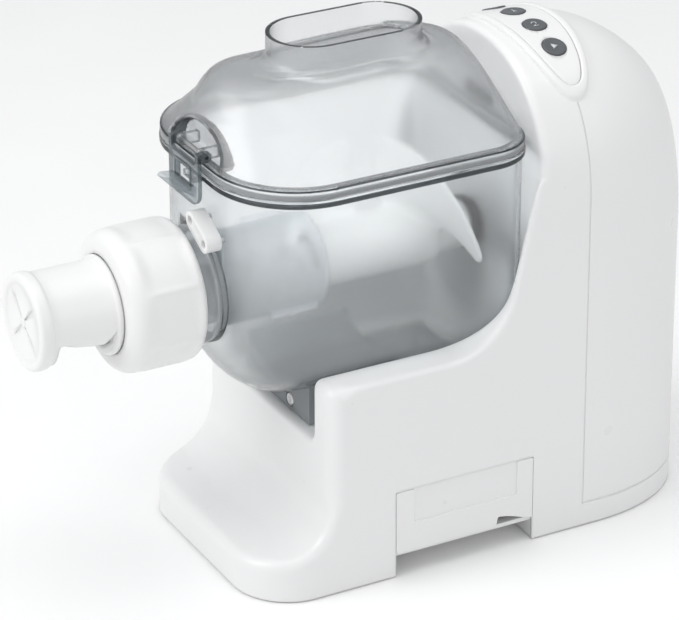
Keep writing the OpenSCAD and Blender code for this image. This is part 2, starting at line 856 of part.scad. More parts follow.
board_z = plinth_h + standoff_h;
module power_board()
  color(green) {
    box([-board_half, board_y0, board_z], [board_half, board_y1, board_z + 1.6]);
    box([-38, board_y0 + 8, board_z + 1.6 - eps], [-14, board_y0 + 32, board_z + 20]);
    box([22, board_y0 + 26, board_z + 1.6 - eps], [36, board_y0 + 42, board_z + 13]);
    for (x = [-2, 12])
      rod_z(5.5, board_z + 1.6 - eps, board_z + 19, x, board_y0 + 12);
  }

inlet_deep = 14;
inlet_pin_x = 4.3;
module power_inlet()
  color(dark)
    difference() {
      union() {
        box([-inlet_half, rear_reach - 16, inlet_z - inlet_tall / 2],
            [inlet_half, rear_reach, inlet_z + inlet_tall / 2]);
        box([-inlet_half - 3, rear_reach - wall - 3, inlet_z - inlet_tall / 2 - 3],
            [inlet_half + 3, rear_reach - wall - gap, inlet_z + inlet_tall / 2 + 3]);
      }
      for (x = [-inlet_pin_x, inlet_pin_x])
        rod_y(4.6, rear_reach - inlet_deep, rear_reach + 5, x, inlet_z);
      box([-inlet_pin_x, rear_reach - inlet_deep, inlet_z - 4.6],
          [inlet_pin_x, rear_reach + 5, inlet_z + 4.6]);
      for (x = [-inlet_pin_x, inlet_pin_x])
        rod_y(1.2, rear_reach - 20, rear_reach, x, inlet_z);
    }

module inlet_pins()
  color(brass)
    for (x = [-inlet_pin_x, inlet_pin_x])
      rod_y(1.2, rear_reach - 19, rear_reach - 5, x, inlet_z);

// Safety switch behind the slot, with a plunger that the lid pushes in
slot_x = 7;
slot_half = 20;
slot_h = 11;
slot_z = rim_z + 11;
plunger_travel = 2.5;
plunger_half = 14;
plunger_tall = 7;
module interlock_plunger()
  color(grey) {
    box([slot_x - plunger_half, tower_y - 0.6, slot_z - plunger_tall / 2],
        [slot_x + plunger_half, tower_y + wall + 3, slot_z + plunger_tall / 2]);
    box([slot_x - 2, tower_y + wall + 3 - eps, slot_z - 2],
        [slot_x + 2, tower_y + wall + 6.5, slot_z + 2]);
  }

module interlock_switch()
  color(dark)
    difference() {
      box([slot_x - slot_half - 6, tower_y + wall, slot_z - slot_h / 2 - 4],
          [slot_x + slot_half + 6, tower_y + wall + 14, slot_z + slot_h / 2 + 4]);
      box([slot_x - plunger_half - gap, tower_y, slot_z - plunger_tall / 2 - gap],
          [slot_x + plunger_half + gap, tower_y + wall + 10, slot_z + plunger_tall / 2 + gap]);
    }

// ---- Drawer -------------------------------------------------------------------------

tray_y0 = drawer_y0 + 7;
tray_y1 = drawer_y1 - 7;
tray_z0 = drawer_z0 + 5;
tray_z1 = drawer_z1 - 3;
tray_x0 = drawer_x - drawer_deep;
rail_t = 3;
function draft_at(z) = base_half - (base_half - tower_half) * z / arch_z;

module drawer()
  color(white)
    difference() {
      union() {
        // Face, flush with the side of the housing
        intersection() {
          box([drawer_x - 3, drawer_y0 + gap, drawer_z0 + gap],
              [base_half + 5, drawer_y1 - gap, drawer_z1 - gap]);
          along_y(drawer_y0, drawer_y1)
            polygon(arch_pts(0));
        }
        box([tray_x0, tray_y0, tray_z0], [drawer_x - 3 + eps, tray_y1, tray_z1]);
      }
      box([tray_x0 + tray_wall, tray_y0 + tray_wall, tray_z0 + tray_wall],
          [drawer_x - 3, tray_y1 - tray_wall, drawer_z1 + 5]);
      // Shallow panel in the face
      box([draft_at(drawer_z1) - 0.8, drawer_y0 + 12, drawer_z0 + 16],
          [base_half + 5, drawer_y1 - 11, drawer_z1 + 5]);
      // Finger notch
      along_x(drawer_x - 4, base_half + 5)
        polygon(concat(
          [[drawer_y1 - notch_wide, drawer_z0 - 5]],
          arc([drawer_y1 - notch_wide + notch_h, drawer_z0], notch_h, 180, 90, 6),
          [[drawer_y1 + 5, drawer_z0 + notch_h], [drawer_y1 + 5, drawer_z0 - 5]]));
    }

module drawer_rails()
  color(white)
    for (s = [0, 1]) {
      y = s == 0 ? tray_y0 - gap : tray_y1 + gap;
      d = s == 0 ? -rail_t : rail_t;
      box([tray_x0 - 2, min(y, y + d), plinth_h], [drawer_x - 10, max(y, y + d), tray_z0 + 8]);
      box([tray_x0 - 2, min(y - d, y + d), plinth_h],
          [drawer_x - 10, max(y - d, y + d), tray_z0 - gap]);
    }

// ---- Bowl ---------------------------------------------------------------------------

// Half outline (radius, y) of the bowl, drawn in by g
function bowl_pts(g) = concat(
  [[0, bowl_front + g]],
  arc([bowl_r - bowl_front_r, bowl_front + bowl_front_r], bowl_front_r - g, -90, 0),
  arc([bowl_r - bowl_rear_r, bowl_rear - bowl_rear_r], bowl_rear_r - g, 0, 90),
  [[0, bowl_rear - g]]);

module bowl_form(g, top) {
  translate([0, 0, axis_z])
    rotate([-90, 0, 0])
      rotate_extrude(angle = 180)
        polygon(bowl_pts(g));
  along_z(axis_z, top)
    polygon(plan_pts(bowl_r - g, bowl_front + g, bowl_front_r - g,
                     bowl_rear - g, bowl_rear_r - g));
}

rim_rear = tower_y - 1;
rim_front_r = 51;
rim_rear_r = 29;
module rim_form(g, z0, z1)
  along_z(z0, z1)
    polygon(plan_pts(rim_half - g, rim_front + g, rim_front_r - g,
                     rim_rear - g, rim_rear_r - g));

neck_ring_y = bowl_front - 3;
module mixing_bowl()
  color(clear)
    difference() {
      union() {
        bowl_form(0, rim_z - eps);
        rim_form(0, rim_z - rim_h, rim_z);
        rod_y(neck_ring_r, neck_ring_y, bowl_front + 1);
        // Tooth that the latch closes over
        box([-7, rim_front - 1.2, rim_z - rim_h - 4], [7, bowl_front + 1, rim_z - rim_h + eps]);
        // Pads for the clip's screws
        clip_place()
          box([-13, -10, -5], [13, 3, 5]);
      }
      bowl_form(bowl_wall, rim_z + 5);
      rod_y(barrel_r + run, neck_ring_y - 5, bowl_front + 20);
      rod_y(bush_r, bowl_rear - 10, bowl_rear + 5);
      clip_place()
        for (s = [-1, 1])
          translate([s * clip_hole, 4, 0])
            rotate([90, 0, 0])
              cylinder(r = screw_r, h = 6.5);
    }

module bowl_foot()
  color(grey)
    difference() {
      union() {
        box([-foot_half, foot_y, floor_z + foot_gap], [foot_half, 20, axis_z - bowl_r + 6]);
        box([-foot_half + 6, 20 - eps, floor_z + foot_gap], [foot_half - 6, 60, axis_z - bowl_r + 3]);
      }
      rod_y(bowl_r + run, bowl_front - 5, bowl_rear + 5);
      rod_y(4.5, foot_y - 5, foot_y + 2, foot_screw_x, foot_screw_z);
      rod_y(screw_r, foot_y - 5, foot_y + 17, foot_screw_x, foot_screw_z);
    }
foot_screw_x = 16;
foot_screw_z = floor_z + foot_gap + 6;

module foot_screw()
  color(steel) {
    rod_y(4, foot_y + 0.4, foot_y + 2, foot_screw_x, foot_screw_z);
    rod_y(screw_r, foot_y + 2 - eps, foot_y + 15, foot_screw_x, foot_screw_z);
  }

bush_r = journal_r + 2.5;
module bowl_bush()
  color(dark) {
    pipe_y(bush_r, journal_r + run, bowl_rear - bowl_wall - 1, bowl_rear + 0.5);
    pipe_y(bush_r + 2.5, journal_r + run, bowl_rear - bowl_wall - 2.5, bowl_rear - bowl_wall - 0.05);
  }

// ---- Nozzle -------------------------------------------------------------------------

collar_y = neck_ring_y - 3;
die_y = nut_front + 8.4;
thread_r = barrel_r + 1.2;
lip_t = 3.6;
module extrusion_barrel()
  color(frosted)
    difference() {
      union() {
        rod_y(barrel_r, die_y, bowl_front + bowl_wall + 1);
        rod_y(sleeve_r, bowl_front, barrel_end);
        rod_y(sleeve_r + 1.2, barrel_end - 3, barrel_end);
        rod_y(neck_ring_r - 0.8, collar_y, neck_ring_y - 0.6);
        for (i = [0:3])
          rod_y(thread_r, die_y + 5 + 6 * i, die_y + 7 + 6 * i);
      }
      rod_y(barrel_bore, die_y - 5, barrel_end + 5);
    }

module barrel_seal()
  color(dark)
    pipe_y(neck_ring_r - 1, barrel_r + run, neck_ring_y - 0.6, neck_ring_y);

die_slots = 6;
module pasta_die()
  color(white)
    difference() {
      union() {
        rod_y(thread_r, nut_front + lip_t, die_y);
        rod_y(nut_mouth - gap, nut_front + 1.5, nut_front + lip_t + eps);
      }
      for (i = [0:die_slots - 1])
        rod_y(3, nut_front - 5, die_y + 5, 14 * cos(i * 60), axis_z + 14 * sin(i * 60));
      rod_y(3, nut_front - 5, die_y + 5);
    }

rib_n = 12;
module retaining_nut()
  color(white)
    difference() {
      translate([0, 0, axis_z])
        rotate([-90, 0, 0])
          rotate_extrude($fn = 96)
            polygon(concat(
              [[nut_mouth, nut_front]],
              arc([nut_r - 10, nut_front + 9.5], 9.5, -90, -4, 8),
              arc([nut_r - 5, nut_rear - 5], 5, 0, 90, 6),
              [[thread_r + gap, nut_rear], [thread_r + gap, nut_front + lip_t - 0.1],
               [nut_mouth, nut_front + lip_t - 0.1]]));
      // Shallow grip flats
      for (i = [0:rib_n - 1])
        rotate_about_axis(i * 360 / rib_n + 15)
          rod_y(18, nut_front + 12, nut_rear - 8, nut_r + 17);
    }

module rotate_about_axis(a)
  translate([0, 0, axis_z])
    rotate([0, a, 0])
      translate([0, 0, -axis_z])
        children();

hood_rear = nut_front - 0.3;
window_y0 = -front_reach + 11;
window_y1 = hood_rear - 3.5;
window_h = hood_r * cos(window_angle);
module cutter_hood()
  color(white)
    difference() {
      union() {
        rod_y(hood_r, -front_reach + 5, hood_rear);
        rod_y(hood_tip_r, -front_reach, -front_reach + 7);
        rod_y(nut_mouth, hood_rear - 2.6, hood_rear);
        rod_y(nut_mouth - gap, hood_rear - eps, hood_rear + 1.6);
        // Small grip lug on the tip
        box([-hood_tip_r - 2.5, -front_reach, axis_z - 3], [-hood_tip_r + 3, -front_reach + 7, axis_z + 3]);
      }
      rod_y(hood_r - hood_wall, -front_reach + 4, hood_rear + 5);
      // Recessed face with a cross of grooves
      difference() {
        rod_y(22, -front_reach - 1, -front_reach + 1.2);
        rod_y(3, -front_reach - 2, -front_reach + 2);
      }
      for (a = [45, 135])
        rotate_about_axis(a)
          box([-17, -front_reach - 1, axis_z - 1], [17, -front_reach + 2, axis_z + 1]);
      // Window where the dough comes out, cut from below and wider towards the nut
      along_x(-hood_r - 5, hood_r + 5)
        polygon(concat(
          [[window_y0, axis_z - hood_r - 9]],
          arc([window_y0 + 4, axis_z - window_h - 4], 4, 180, 90, 4),
          arc([window_y1 - 14, axis_z - window_h + 14], 14, -90, -35, 5),
          [[window_y1, axis_z - 4], [window_y1, axis_z - hood_r - 9]]));
    }

// ---- Screw and paddle ---------------------------------------------------------------

screw_end = barrel_end + 2;
screw_front = die_y + 1.5;
screw_edge = barrel_bore - screw_gap;
flight_len = barrel_end - screw_front - 4;
module auger()
  color(white) {
    rod_y(screw_core, screw_front, screw_end);
    translate([0, screw_front + flight_len, axis_z])
      rotate([90, 0, 0])
        linear_extrude(flight_len, twist = 360 * flight_len / screw_pitch,
                       slices = ceil(flight_len / 3))
          square([2 * screw_edge, flight_t], center = true);
  }

blade_rise = 27;
blade_y1 = bowl_rear - bowl_wall - 8;
module mixing_paddle()
  color(white)
    difference() {
      union() {
        rod_y(hub_r, screw_end, blade_y1 - 18);
        rod_y(14, blade_y1 - 18 - eps, bowl_rear - bowl_wall - 3.5);
        rod_y(journal_r, bowl_rear - bowl_wall - 3.5 - eps, bowl_rear + 0.6);
        blade(-10, blade_y1 - blade_rise - 16);
        blade(238, screw_end + 10);
      }
      translate([0, 0, axis_z])
        along_y(square_y - 1.5, bowl_rear + 5)
          square(square_side + 2 * gap, center = true);
    }

// A blade that winds round the hub: a thin spoke, swept back, that turns as it runs along Y.
// It starts at an angle from the top, turning towards +X.
blade_turn = 96;
blade_sweep = 26;
blade_wide = blade_t * blade_turn / blade_rise;
function spoke(s, a) = let (r = hub_r - 4 + (blade_reach - hub_r + 4) * s)
  r * [cos(a + blade_sweep * pow(1 - s, 1.5)), sin(a + blade_sweep * pow(1 - s, 1.5))];
module blade(from, y)
  translate([0, y + blade_rise, axis_z])
    rotate([90, 0, 0])
      linear_extrude(blade_rise, twist = -blade_turn, slices = 16)
        rotate(90 - from - blade_turn)
          polygon(concat(
            [for (i = [0:6]) spoke(i / 6, -blade_wide / 2)],
            [for (i = [6:-1:0]) spoke(i / 6, blade_wide / 2)]));

// ---- Lid ----------------------------------------------------------------------------

band_z0 = rim_z + 0.3;
band_z1 = band_z0 + band_h;
band_in = 0.5;

// One slice of the dome: how far up (0 to 1) gives its outline
lid_front_r = rim_front_r - band_in;
lid_steps = 8;
function dome_rise(t) = pow(sin(90 * t), 2.3);
function dome_draw(t, e) = 1 - pow(cos(90 * t), e);
top_half = chute_wide / 2 - 1;
top_front = chute_y - chute_long / 2 - 22;
top_rear = chute_y + chute_long / 2 + 13;
module dome_slice(t, g) {
  w0 = rim_half - band_in - g;
  w = w0 + (top_half - w0) * dome_draw(t, 1.7);
  y0 = rim_front + band_in + g;
  y1 = rim_rear - band_in - g;
  ya = y0 + (top_front + g - y0) * dome_draw(t, 0.6);
  yb = y1 + (top_rear - g - y1) * dome_draw(t, 0.7);
  rb = rim_rear_r - band_in - g;
  translate([0, chute_y, band_z1 - eps + (lid_top - g - band_z1) * dome_rise(t)])
    rotate([lid_tilt * dome_rise(t), 0, 0])
      linear_extrude(eps)
        translate([0, -chute_y])
          polygon(plan_pts(w, ya, min(w - 0.5, lid_front_r - g), yb, min(w - 0.5, rb)));
}

module dome(g)
  hull()
    for (i = [0:lid_steps])
      dome_slice(i / lid_steps, g);

// Hollow in the dome's front for the latch, grown by g
module latch_recess(g)
  intersection() {
    along_y(rim_front - 20, rim_front + recess_deep + g)
      translate([0, band_z1 - 1])
        scale_circle(recess_half + g, recess_h + 1 + g);
    box([-99, rim_front - 30, band_z1 - g], [99, 0, chute_z]);
  }

module scale_circle(a, b)
  polygon([for (i = [0:35]) [a * cos(10 * i), b * sin(10 * i)]]);

function chute_pts(g) =
  plan_pts(chute_wide / 2 - g, chute_y - chute_long / 2 + g, chute_wide / 2 - g - 0.01,
           chute_y + chute_long / 2 - g, chute_wide / 2 - g - 0.01);

latch_y = rim_front + 1.5;
latch_z = band_z1 + 4.5;
lug_r = 3.2;
lug_x0 = latch_half - 8;
lug_x1 = latch_half - 4;
module lid()
  color(clear)
    difference() {
      union() {
        difference() {
          union() {
            dome(0);
            rim_form(band_in, band_z0, band_z1);
            along_z(lid_top - 14, chute_z)
              polygon(chute_pts(0));
          }
          latch_recess(0);
          difference() {
            union() {
              dome(lid_wall);
              rim_form(band_in + 2 * lid_wall + 2, band_z0 - 5, band_z1 + eps);
            }
            latch_recess(lid_wall);
          }
          along_z(band_z1, chute_z + 5)
            polygon(chute_pts(lid_wall));
        }
        // Lugs for the hinge pin
        for (s = [-1, 1])
          hull() {
            rod_x(lug_r, s > 0 ? lug_x0 : -lug_x1, s > 0 ? lug_x1 : -lug_x0, latch_y, latch_z);
            box([s > 0 ? lug_x0 : -lug_x1, rim_front + recess_deep, latch_z - lug_r],
                [s > 0 ? lug_x1 : -lug_x0, rim_front + recess_deep + 1, latch_z + lug_r]);
          }
      }
      rod_x(latch_pin_r, -latch_half - 5, latch_half + 5, latch_y, latch_z);
      // Groove for the gasket
      gasket_ring(0.05, band_z0 - 1, band_z0 + gasket_h);
    }

gasket_h = 2;
gasket_w = 2.2;
module gasket_ring(g, z0, z1)
  difference() {
    rim_form(band_in + 2.2 - g, z0, z1);
    rim_form(band_in + 2.2 + gasket_w + g, z0 - 1, z1 + 1);
  }

module lid_gasket()
  color(grey)
    gasket_ring(0, band_z0 - 0.2, band_z0 + gasket_h - 0.05);

module latch_pin()
  color(steel)
    rod_x(latch_pin_r, -latch_half, latch_half, latch_y, latch_z);

latch_in = rim_front - 1.5;
latch_out = latch_in - latch_t;
arm_x0 = lug_x1 + gap;
module lid_latch()
  color(clear)
    difference() {
      union() {
        // Plate with a rounded lower end
        along_y(latch_out, latch_in)
          polygon(concat(
            arc([-latch_half + 9, latch_low + 9], 9, 180, 270, 6),
            arc([latch_half - 9, latch_low + 9], 9, -90, 0, 6),
            [[latch_half, latch_z], [-latch_half, latch_z]]));
        // Arms to the hinge pin
        for (s = [-1, 1]) {
          rod_x(lug_r, s > 0 ? arm_x0 : -latch_half, s > 0 ? latch_half : -arm_x0, latch_y, latch_z);
          box([s > 0 ? arm_x0 : -latch_half, latch_out, latch_z - 3],
              [s > 0 ? latch_half : -arm_x0, latch_y, latch_z + 3]);
        }
        // Curled finger lip
        along_x(-latch_half + 6, latch_half - 6)
          polygon([[latch_in - 1, latch_low + 3], [latch_in - 1, latch_low + 11],
                   [latch_out - 9, latch_low + 13], [latch_out - 10.5, latch_low + 11]]);
      }
      rod_x(latch_pin_r + run, -latch_half - 5, latch_half + 5, latch_y, latch_z);
      // Square window over the tooth, and the gap between the arms
      box([-8.5, latch_out - 1, rim_z - rim_h - 5.5], [8.5, latch_in + 1, rim_z + 1.5]);
      box([-arm_x0, latch_out - 1, band_z1 - 0.5], [arm_x0, latch_y + 9, latch_z + 9]);
    }

// ---- Clip above the neck ------------------------------------------------------------

clip_angle = 26.6;
clip_far = 46.4;
clip_y = bowl_front - 3.05;
clip_deep = 9;
clip_hole = 9;
module clip_place()
  translate([clip_far * sin(clip_angle), bowl_front, axis_z + clip_far * cos(clip_angle)])
    rotate([0, clip_angle, 0])
      mirror([0, 1, 0])
        children();

module clip_form(y0, y1)
  translate([0, y1, 0])
    rotate([90, 0, 0])
      linear_extrude(y1 - y0)
        polygon(concat(
          arc([8.5, 0], 5.6, -90, 90),
          arc([-8.5, 0], 5.6, 90, 270)));

module barrel_clip()
  color(white)
    clip_place()
      difference() {
        clip_form(bowl_front - clip_y, bowl_front - clip_y + clip_deep);
        for (s = [-1, 1])
          translate([s * clip_hole, 40, 0])
            rotate([90, 0, 0]) {
              cylinder(r = screw_r + run, h = 60);
              cylinder(r = 2.6, h = 40 - (bowl_front - clip_y) - 2);
            }
      }

module clip_screws()
  color(steel)
    clip_place()
      for (s = [-1, 1])
        translate([s * clip_hole, bowl_front - clip_y + 3.6, 0])
          rotate([90, 0, 0]) {
            cylinder(r = 2.4, h = 1.5);
            cylinder(r = screw_r - run, h = 8);
          }

// ---- Output -------------------------------------------------------------------------

front_housing();
rear_cover();
bottom_plate();
rubber_feet();
base_screws();
cover_screws();
control_bezel();
control_plate();
button_board();
button_1();
button_2();
button_3();
button_4();
gear_frame();
gear_plate();
shaft_bearings();
shaft_seal();
idler_pin();
motor_can();
motor_shaft();
motor_pinion();
motor_armature();
cooling_fan();
idler_gear();
output_gear();
drive_shaft();
power_board();
power_inlet();
inlet_pins();
interlock_switch();
interlock_plunger();
drawer_rails();
drawer();
mixing_bowl();
bowl_foot();
foot_screw();
bowl_bush();
extrusion_barrel();
barrel_seal();
barrel_clip();
clip_screws();
pasta_die();
retaining_nut();
cutter_hood();
auger();
mixing_paddle();
lid();
lid_gasket();
latch_pin();
lid_latch();
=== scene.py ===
import math

import bpy
import bmesh
import numpy as np
from mathutils import Matrix, Vector


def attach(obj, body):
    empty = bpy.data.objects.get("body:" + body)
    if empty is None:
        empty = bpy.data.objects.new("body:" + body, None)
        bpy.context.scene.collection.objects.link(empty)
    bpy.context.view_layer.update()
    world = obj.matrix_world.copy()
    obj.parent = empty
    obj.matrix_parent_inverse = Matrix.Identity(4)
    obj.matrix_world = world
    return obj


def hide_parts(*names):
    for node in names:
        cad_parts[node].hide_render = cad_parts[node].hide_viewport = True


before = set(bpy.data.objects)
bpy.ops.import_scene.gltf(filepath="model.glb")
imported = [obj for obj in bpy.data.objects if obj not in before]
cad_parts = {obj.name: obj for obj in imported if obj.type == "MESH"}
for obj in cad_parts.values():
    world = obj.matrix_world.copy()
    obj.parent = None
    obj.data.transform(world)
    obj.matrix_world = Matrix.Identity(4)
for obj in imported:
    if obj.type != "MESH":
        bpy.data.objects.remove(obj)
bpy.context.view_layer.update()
scene = bpy.context.scene
MM = 0.001

# ---- Camera ----------------------------------------------------------------------------
cam_data = bpy.data.cameras.new("camera")
cam_data.sensor_width = 36.0
cam_data.lens = 186.4
cam_data.clip_end = 50.0
camera = bpy.data.objects.new("camera", cam_data)
scene.collection.objects.link(camera)
camera.location = (1.59165, -0.86544, 1.02928)
camera.rotation_euler = Vector((-0.78859, 0.42639, -0.44307)).to_track_quat("-Z", "Y").to_euler()
scene.camera = camera

# ---- Sizes in mm, as in the part's source ------------------------------------------------
BASE, HALF, ARCH_Z, CROWN, ARCH_N = 79.5, 77.2, 205.0, 291.0, 2.2
SEAM, REAR, REAR_FROM, FLAT, REAR_N = 114.3, 202.0, 124.0, 21.0, 2.1
FALL, FALL_N = 65.0, 1.8
AXIS, TOWER, PLINTH, LIFT, WALL = 173.5, 83.0, 15.0, 1.0, 2.6
TOE, TOE_R = -97.5, 35.0
RIM_Z, RIM_H, RIM_HALF, RIM_FRONT, RIM_REAR = 246.0, 4.5, 78.8, -98.0, 82.0
RIM_FR, RIM_RR = 51.0, 29.0
BOWL_R, BOWL_FRONT, BOWL_REAR, BOWL_FR, BOWL_RR, BOWL_T = 72.0, -93.0, 80.0, 44.0, 20.0, 2.4
NUT_FRONT, NUT_REAR, NUT_R = -153.2, -107.0, 41.0
HOOD_R, HOOD_INNER, TIP = 26.5, 22.0, -201.8
FOOT_Z, FOOT_HALF, FOOT_FRONT, FOOT_TOP = 88.8, 40, -46, 117
ROOM_Z = 238.5  # Above this nothing of the housing stands in front of the tower


# ---- Mesh helpers ------------------------------------------------------------------------
def make(name, verts, faces, smooth=True):
    """An object from points in mm."""
    me = bpy.data.meshes.new(name)
    me.from_pydata((np.asarray(verts, float) * MM).tolist(), [], [list(map(int, f)) for f in faces])
    me.validate()
    me.update()
    if smooth:
        me.shade_smooth()
    ob = bpy.data.objects.new(name, me)
    scene.collection.objects.link(ob)
    return ob


def applied(ob):
    """Applies every modifier of ob."""
    dg = bpy.context.evaluated_depsgraph_get()
    dg.update()
    me = bpy.data.meshes.new_from_object(ob.evaluated_get(dg))
    old = ob.data
    ob.modifiers.clear()
    ob.data = me
    bpy.data.meshes.remove(old)
    return ob


def modify(ob, kind, **values):
    m = ob.modifiers.new(kind, kind)
    for k, v in values.items():
        setattr(m, k, v)
    return m


def bevelled(ob, width, segments=3, angle=35):
    modify(ob, "BEVEL", width=width * MM, segments=segments, limit_method="ANGLE",
           angle_limit=math.radians(angle), harden_normals=False)
    ob = applied(ob)
    ob.data.shade_smooth()
    modify(ob, "WEIGHTED_NORMAL", keep_sharp=False)
    return applied(ob)


def cut(ob, cutters):
    """Cuts other objects out of ob and deletes them."""
    for c in cutters:
        modify(ob, "BOOLEAN", operation="DIFFERENCE", object=c, solver="EXACT")
        applied(ob)
        bpy.data.objects.remove(c)
    return ob


def tube_faces(n, m, closed_u=True, closed_v=False):
    """Quads over a grid of n rings with m points each."""
    i = np.arange(n if closed_v else n - 1)
    j = np.arange(m if closed_u else m - 1)
    i, j = np.meshgrid(i, j, indexing="ij")
    i, j = i.ravel(), j.ravel()
    i2, j2 = (i + 1) % n, (j + 1) % m
    return np.stack([i * m + j, i * m + j2, i2 * m + j2, i2 * m + j], 1)


def lathe(name, profile, turns=96, axis=(0.0, AXIS), radius=None):
    """Turns a closed outline of (radius, y) about the line along Y. radius(r, y, a) may change it."""
    p = np.asarray(profile, float)
    a = np.linspace(0, 2 * math.pi, turns, endpoint=False)
    r = np.repeat(p[:, 0][:, None], turns, 1)
    y = np.repeat(p[:, 1][:, None], turns, 1)
    if radius is not None:
        r = radius(r, y, a[None, :])
    v = np.stack([axis[0] + r * np.sin(a), y, axis[1] + r * np.cos(a)], -1)
    return make(name, v.reshape(-1, 3), tube_faces(len(p), turns, True, True))


def arc(c, r, a0, a1, n=8):
    t = np.radians(np.linspace(a0, a1, n + 1))
    return np.stack([c[0] + r * np.cos(t), c[1] + r * np.sin(t)], 1)


def rounded(points, radius, n=5):
    """A closed outline with each corner rounded. radius is one number or one per corner."""
    p = [np.array(q, float) for q in points]
    out = []
    for i, c in enumerate(p):
        r = radius[i] if hasattr(radius, "__len__") else radius
        a, b = p[i - 1] - c, p[(i + 1) % len(p)] - c
        la, lb = np.linalg.norm(a), np.linalg.norm(b)
        a, b = a / la, b / lb
        half = math.acos(max(-1, min(1, float(a @ b)))) / 2
        if r <= 0 or half > 1.55:
            out.append(c)
            continue
        d = min(r / math.tan(half), 0.49 * la, 0.49 * lb)
        p0, p1 = c + a * d, c + b * d
        for k in range(n + 1):
            t = k / n
            out.append((1 - t) ** 2 * p0 + 2 * t * (1 - t) * c + t * t * p1)
    return np.array(out)


def extrude(name, outline, lo, hi, axis="y"):
    """A flat outline drawn along one axis from lo to hi."""
    o = np.asarray(outline, float)
    n = len(o)
    put = {
        "x": lambda p, t: np.stack([np.full(len(p), t), p[:, 0], p[:, 1]], 1),
        "y": lambda p, t: np.stack([p[:, 0], np.full(len(p), t), p[:, 1]], 1),
        "z": lambda p, t: np.stack([p[:, 0], p[:, 1], np.full(len(p), t)], 1),
    }[axis]
    v = np.vstack([put(o, lo), put(o, hi)])
    f = [tuple(range(n)), tuple(range(2 * n - 1, n - 1, -1))]
    f += [((i + 1) % n, i, n + i, n + (i + 1) % n) for i in range(n)]
    ob = make(name, v, f, smooth=False)
    outward(ob)
    return ob


def outward(ob):
    bm = bmesh.new()
    bm.from_mesh(ob.data)
    bmesh.ops.recalc_face_normals(bm, faces=bm.faces)
    bm.to_mesh(ob.data)
    bm.free()


def finished(name, bm):
    """A smooth object from a bmesh, which is freed."""
    me = bpy.data.meshes.new(name)
    bm.to_mesh(me)
    bm.free()
    me.shade_smooth()
    ob = bpy.data.objects.new(name, me)
    scene.collection.objects.link(ob)
    return ob


def join(name, obs):
    """One object out of several."""
    bm = bmesh.new()
    for o in obs:
        bm.from_mesh(o.data)
    for o in obs:
        bpy.data.objects.remove(o)
    return finished(name, bm)


# ---- Forms from distance functions -------------------------------------------------------
def rmax(a, b, r):
    """The larger of two distances, with a round edge of radius r between them."""
    return np.minimum(np.maximum(a, b), -r) + np.hypot(np.maximum(a + r, 0), np.maximum(b + r, 0))


def rmin(a, b, r):
    return np.maximum(np.minimum(a, b), r) - np.hypot(np.maximum(r - a, 0), np.maximum(r - b, 0))


def step(a, b, x):
    t = np.clip((x - a) / (b - a), 0, 1)
    return t * t * (3 - 2 * t)


def corner(qx, qy, r):
    """Distance to a corner of radius r, from the distances past its centre."""
    return np.minimum(np.maximum(qx, qy), 0) + np.hypot(np.maximum(qx, 0), np.maximum(qy, 0)) - r


def polygon_distance(p, u, v):
    u, v = np.broadcast_arrays(u, v)
    best = np.full(u.shape, 1e9)
    inside = np.zeros(u.shape, bool)
    for i in range(len(p)):
        (au, av), (bu, bv) = p[i - 1], p[i]
        du, dv = bu - au, bv - av
        t = np.clip(((u - au) * du + (v - av) * dv) / (du * du + dv * dv), 0, 1)
        best = np.minimum(best, (u - au - t * du) ** 2 + (v - av - t * dv) ** 2)
        if av != bv:
            hit = ((av > v) != (bv > v)) & (u < (v - av) * du / dv + au)
            inside ^= hit
    return np.where(inside, -1, 1) * np.sqrt(best)


def net(f, lo, hi, h):
    """Quads over the surface where f(x, y, z) is zero, at a spacing of h."""
    ax = [np.arange(lo[k], hi[k] + h, h) for k in range(3)]
    F = f(ax[0][:, None, None], ax[1][None, :, None], ax[2][None, None, :])
    n = np.array(F.shape)
    cells = n - 1
    total = int(cells.prod())
    count = np.zeros(total, np.int32)
    pos = np.zeros((total, 3))
    inside = F < 0
    quads = []
    for k in range(3):
        a = [slice(None)] * 3
        b = [slice(None)] * 3
        a[k], b[k] = slice(0, -1), slice(1, None)
        cross = inside[tuple(a)] != inside[tuple(b)]
        idx = np.argwhere(cross)
        fa = F[tuple(a)][cross]
        fb = F[tuple(b)][cross]
        p = idx.astype(float)
        p[:, k] += fa / (fa - fb)
        o1, o2 = [m for m in range(3) if m != k]
        ring = []
        ok = np.ones(len(idx), bool)
        for d1, d2 in ((0, 0), (1, 0), (1, 1), (0, 1)):
            c = idx.copy()
            c[:, o1] -= d1
            c[:, o2] -= d2
            good = (c >= 0).all(1) & (c < cells).all(1)
            flat = (c[:, 0] * cells[1] + c[:, 1]) * cells[2] + c[:, 2]
            count += np.bincount(flat[good], minlength=total).astype(np.int32)
            for m in range(3):
                pos[:, m] += np.bincount(flat[good], weights=p[good, m], minlength=total)
            ring.append(np.where(good, flat, -1))
            ok &= good
        q = np.stack(ring, 1)[ok]
        flip = (fa[ok] < 0) ^ (k == 1)
        q[flip] = q[flip][:, ::-1]
        quads.append(q)
    used = np.nonzero(count)[0]
    index = np.full(total, -1)
    index[used] = np.arange(len(used))
    verts = pos[used] / count[used][:, None] * h + np.array(lo)
    return verts, index[np.vstack(quads)][:, ::-1]


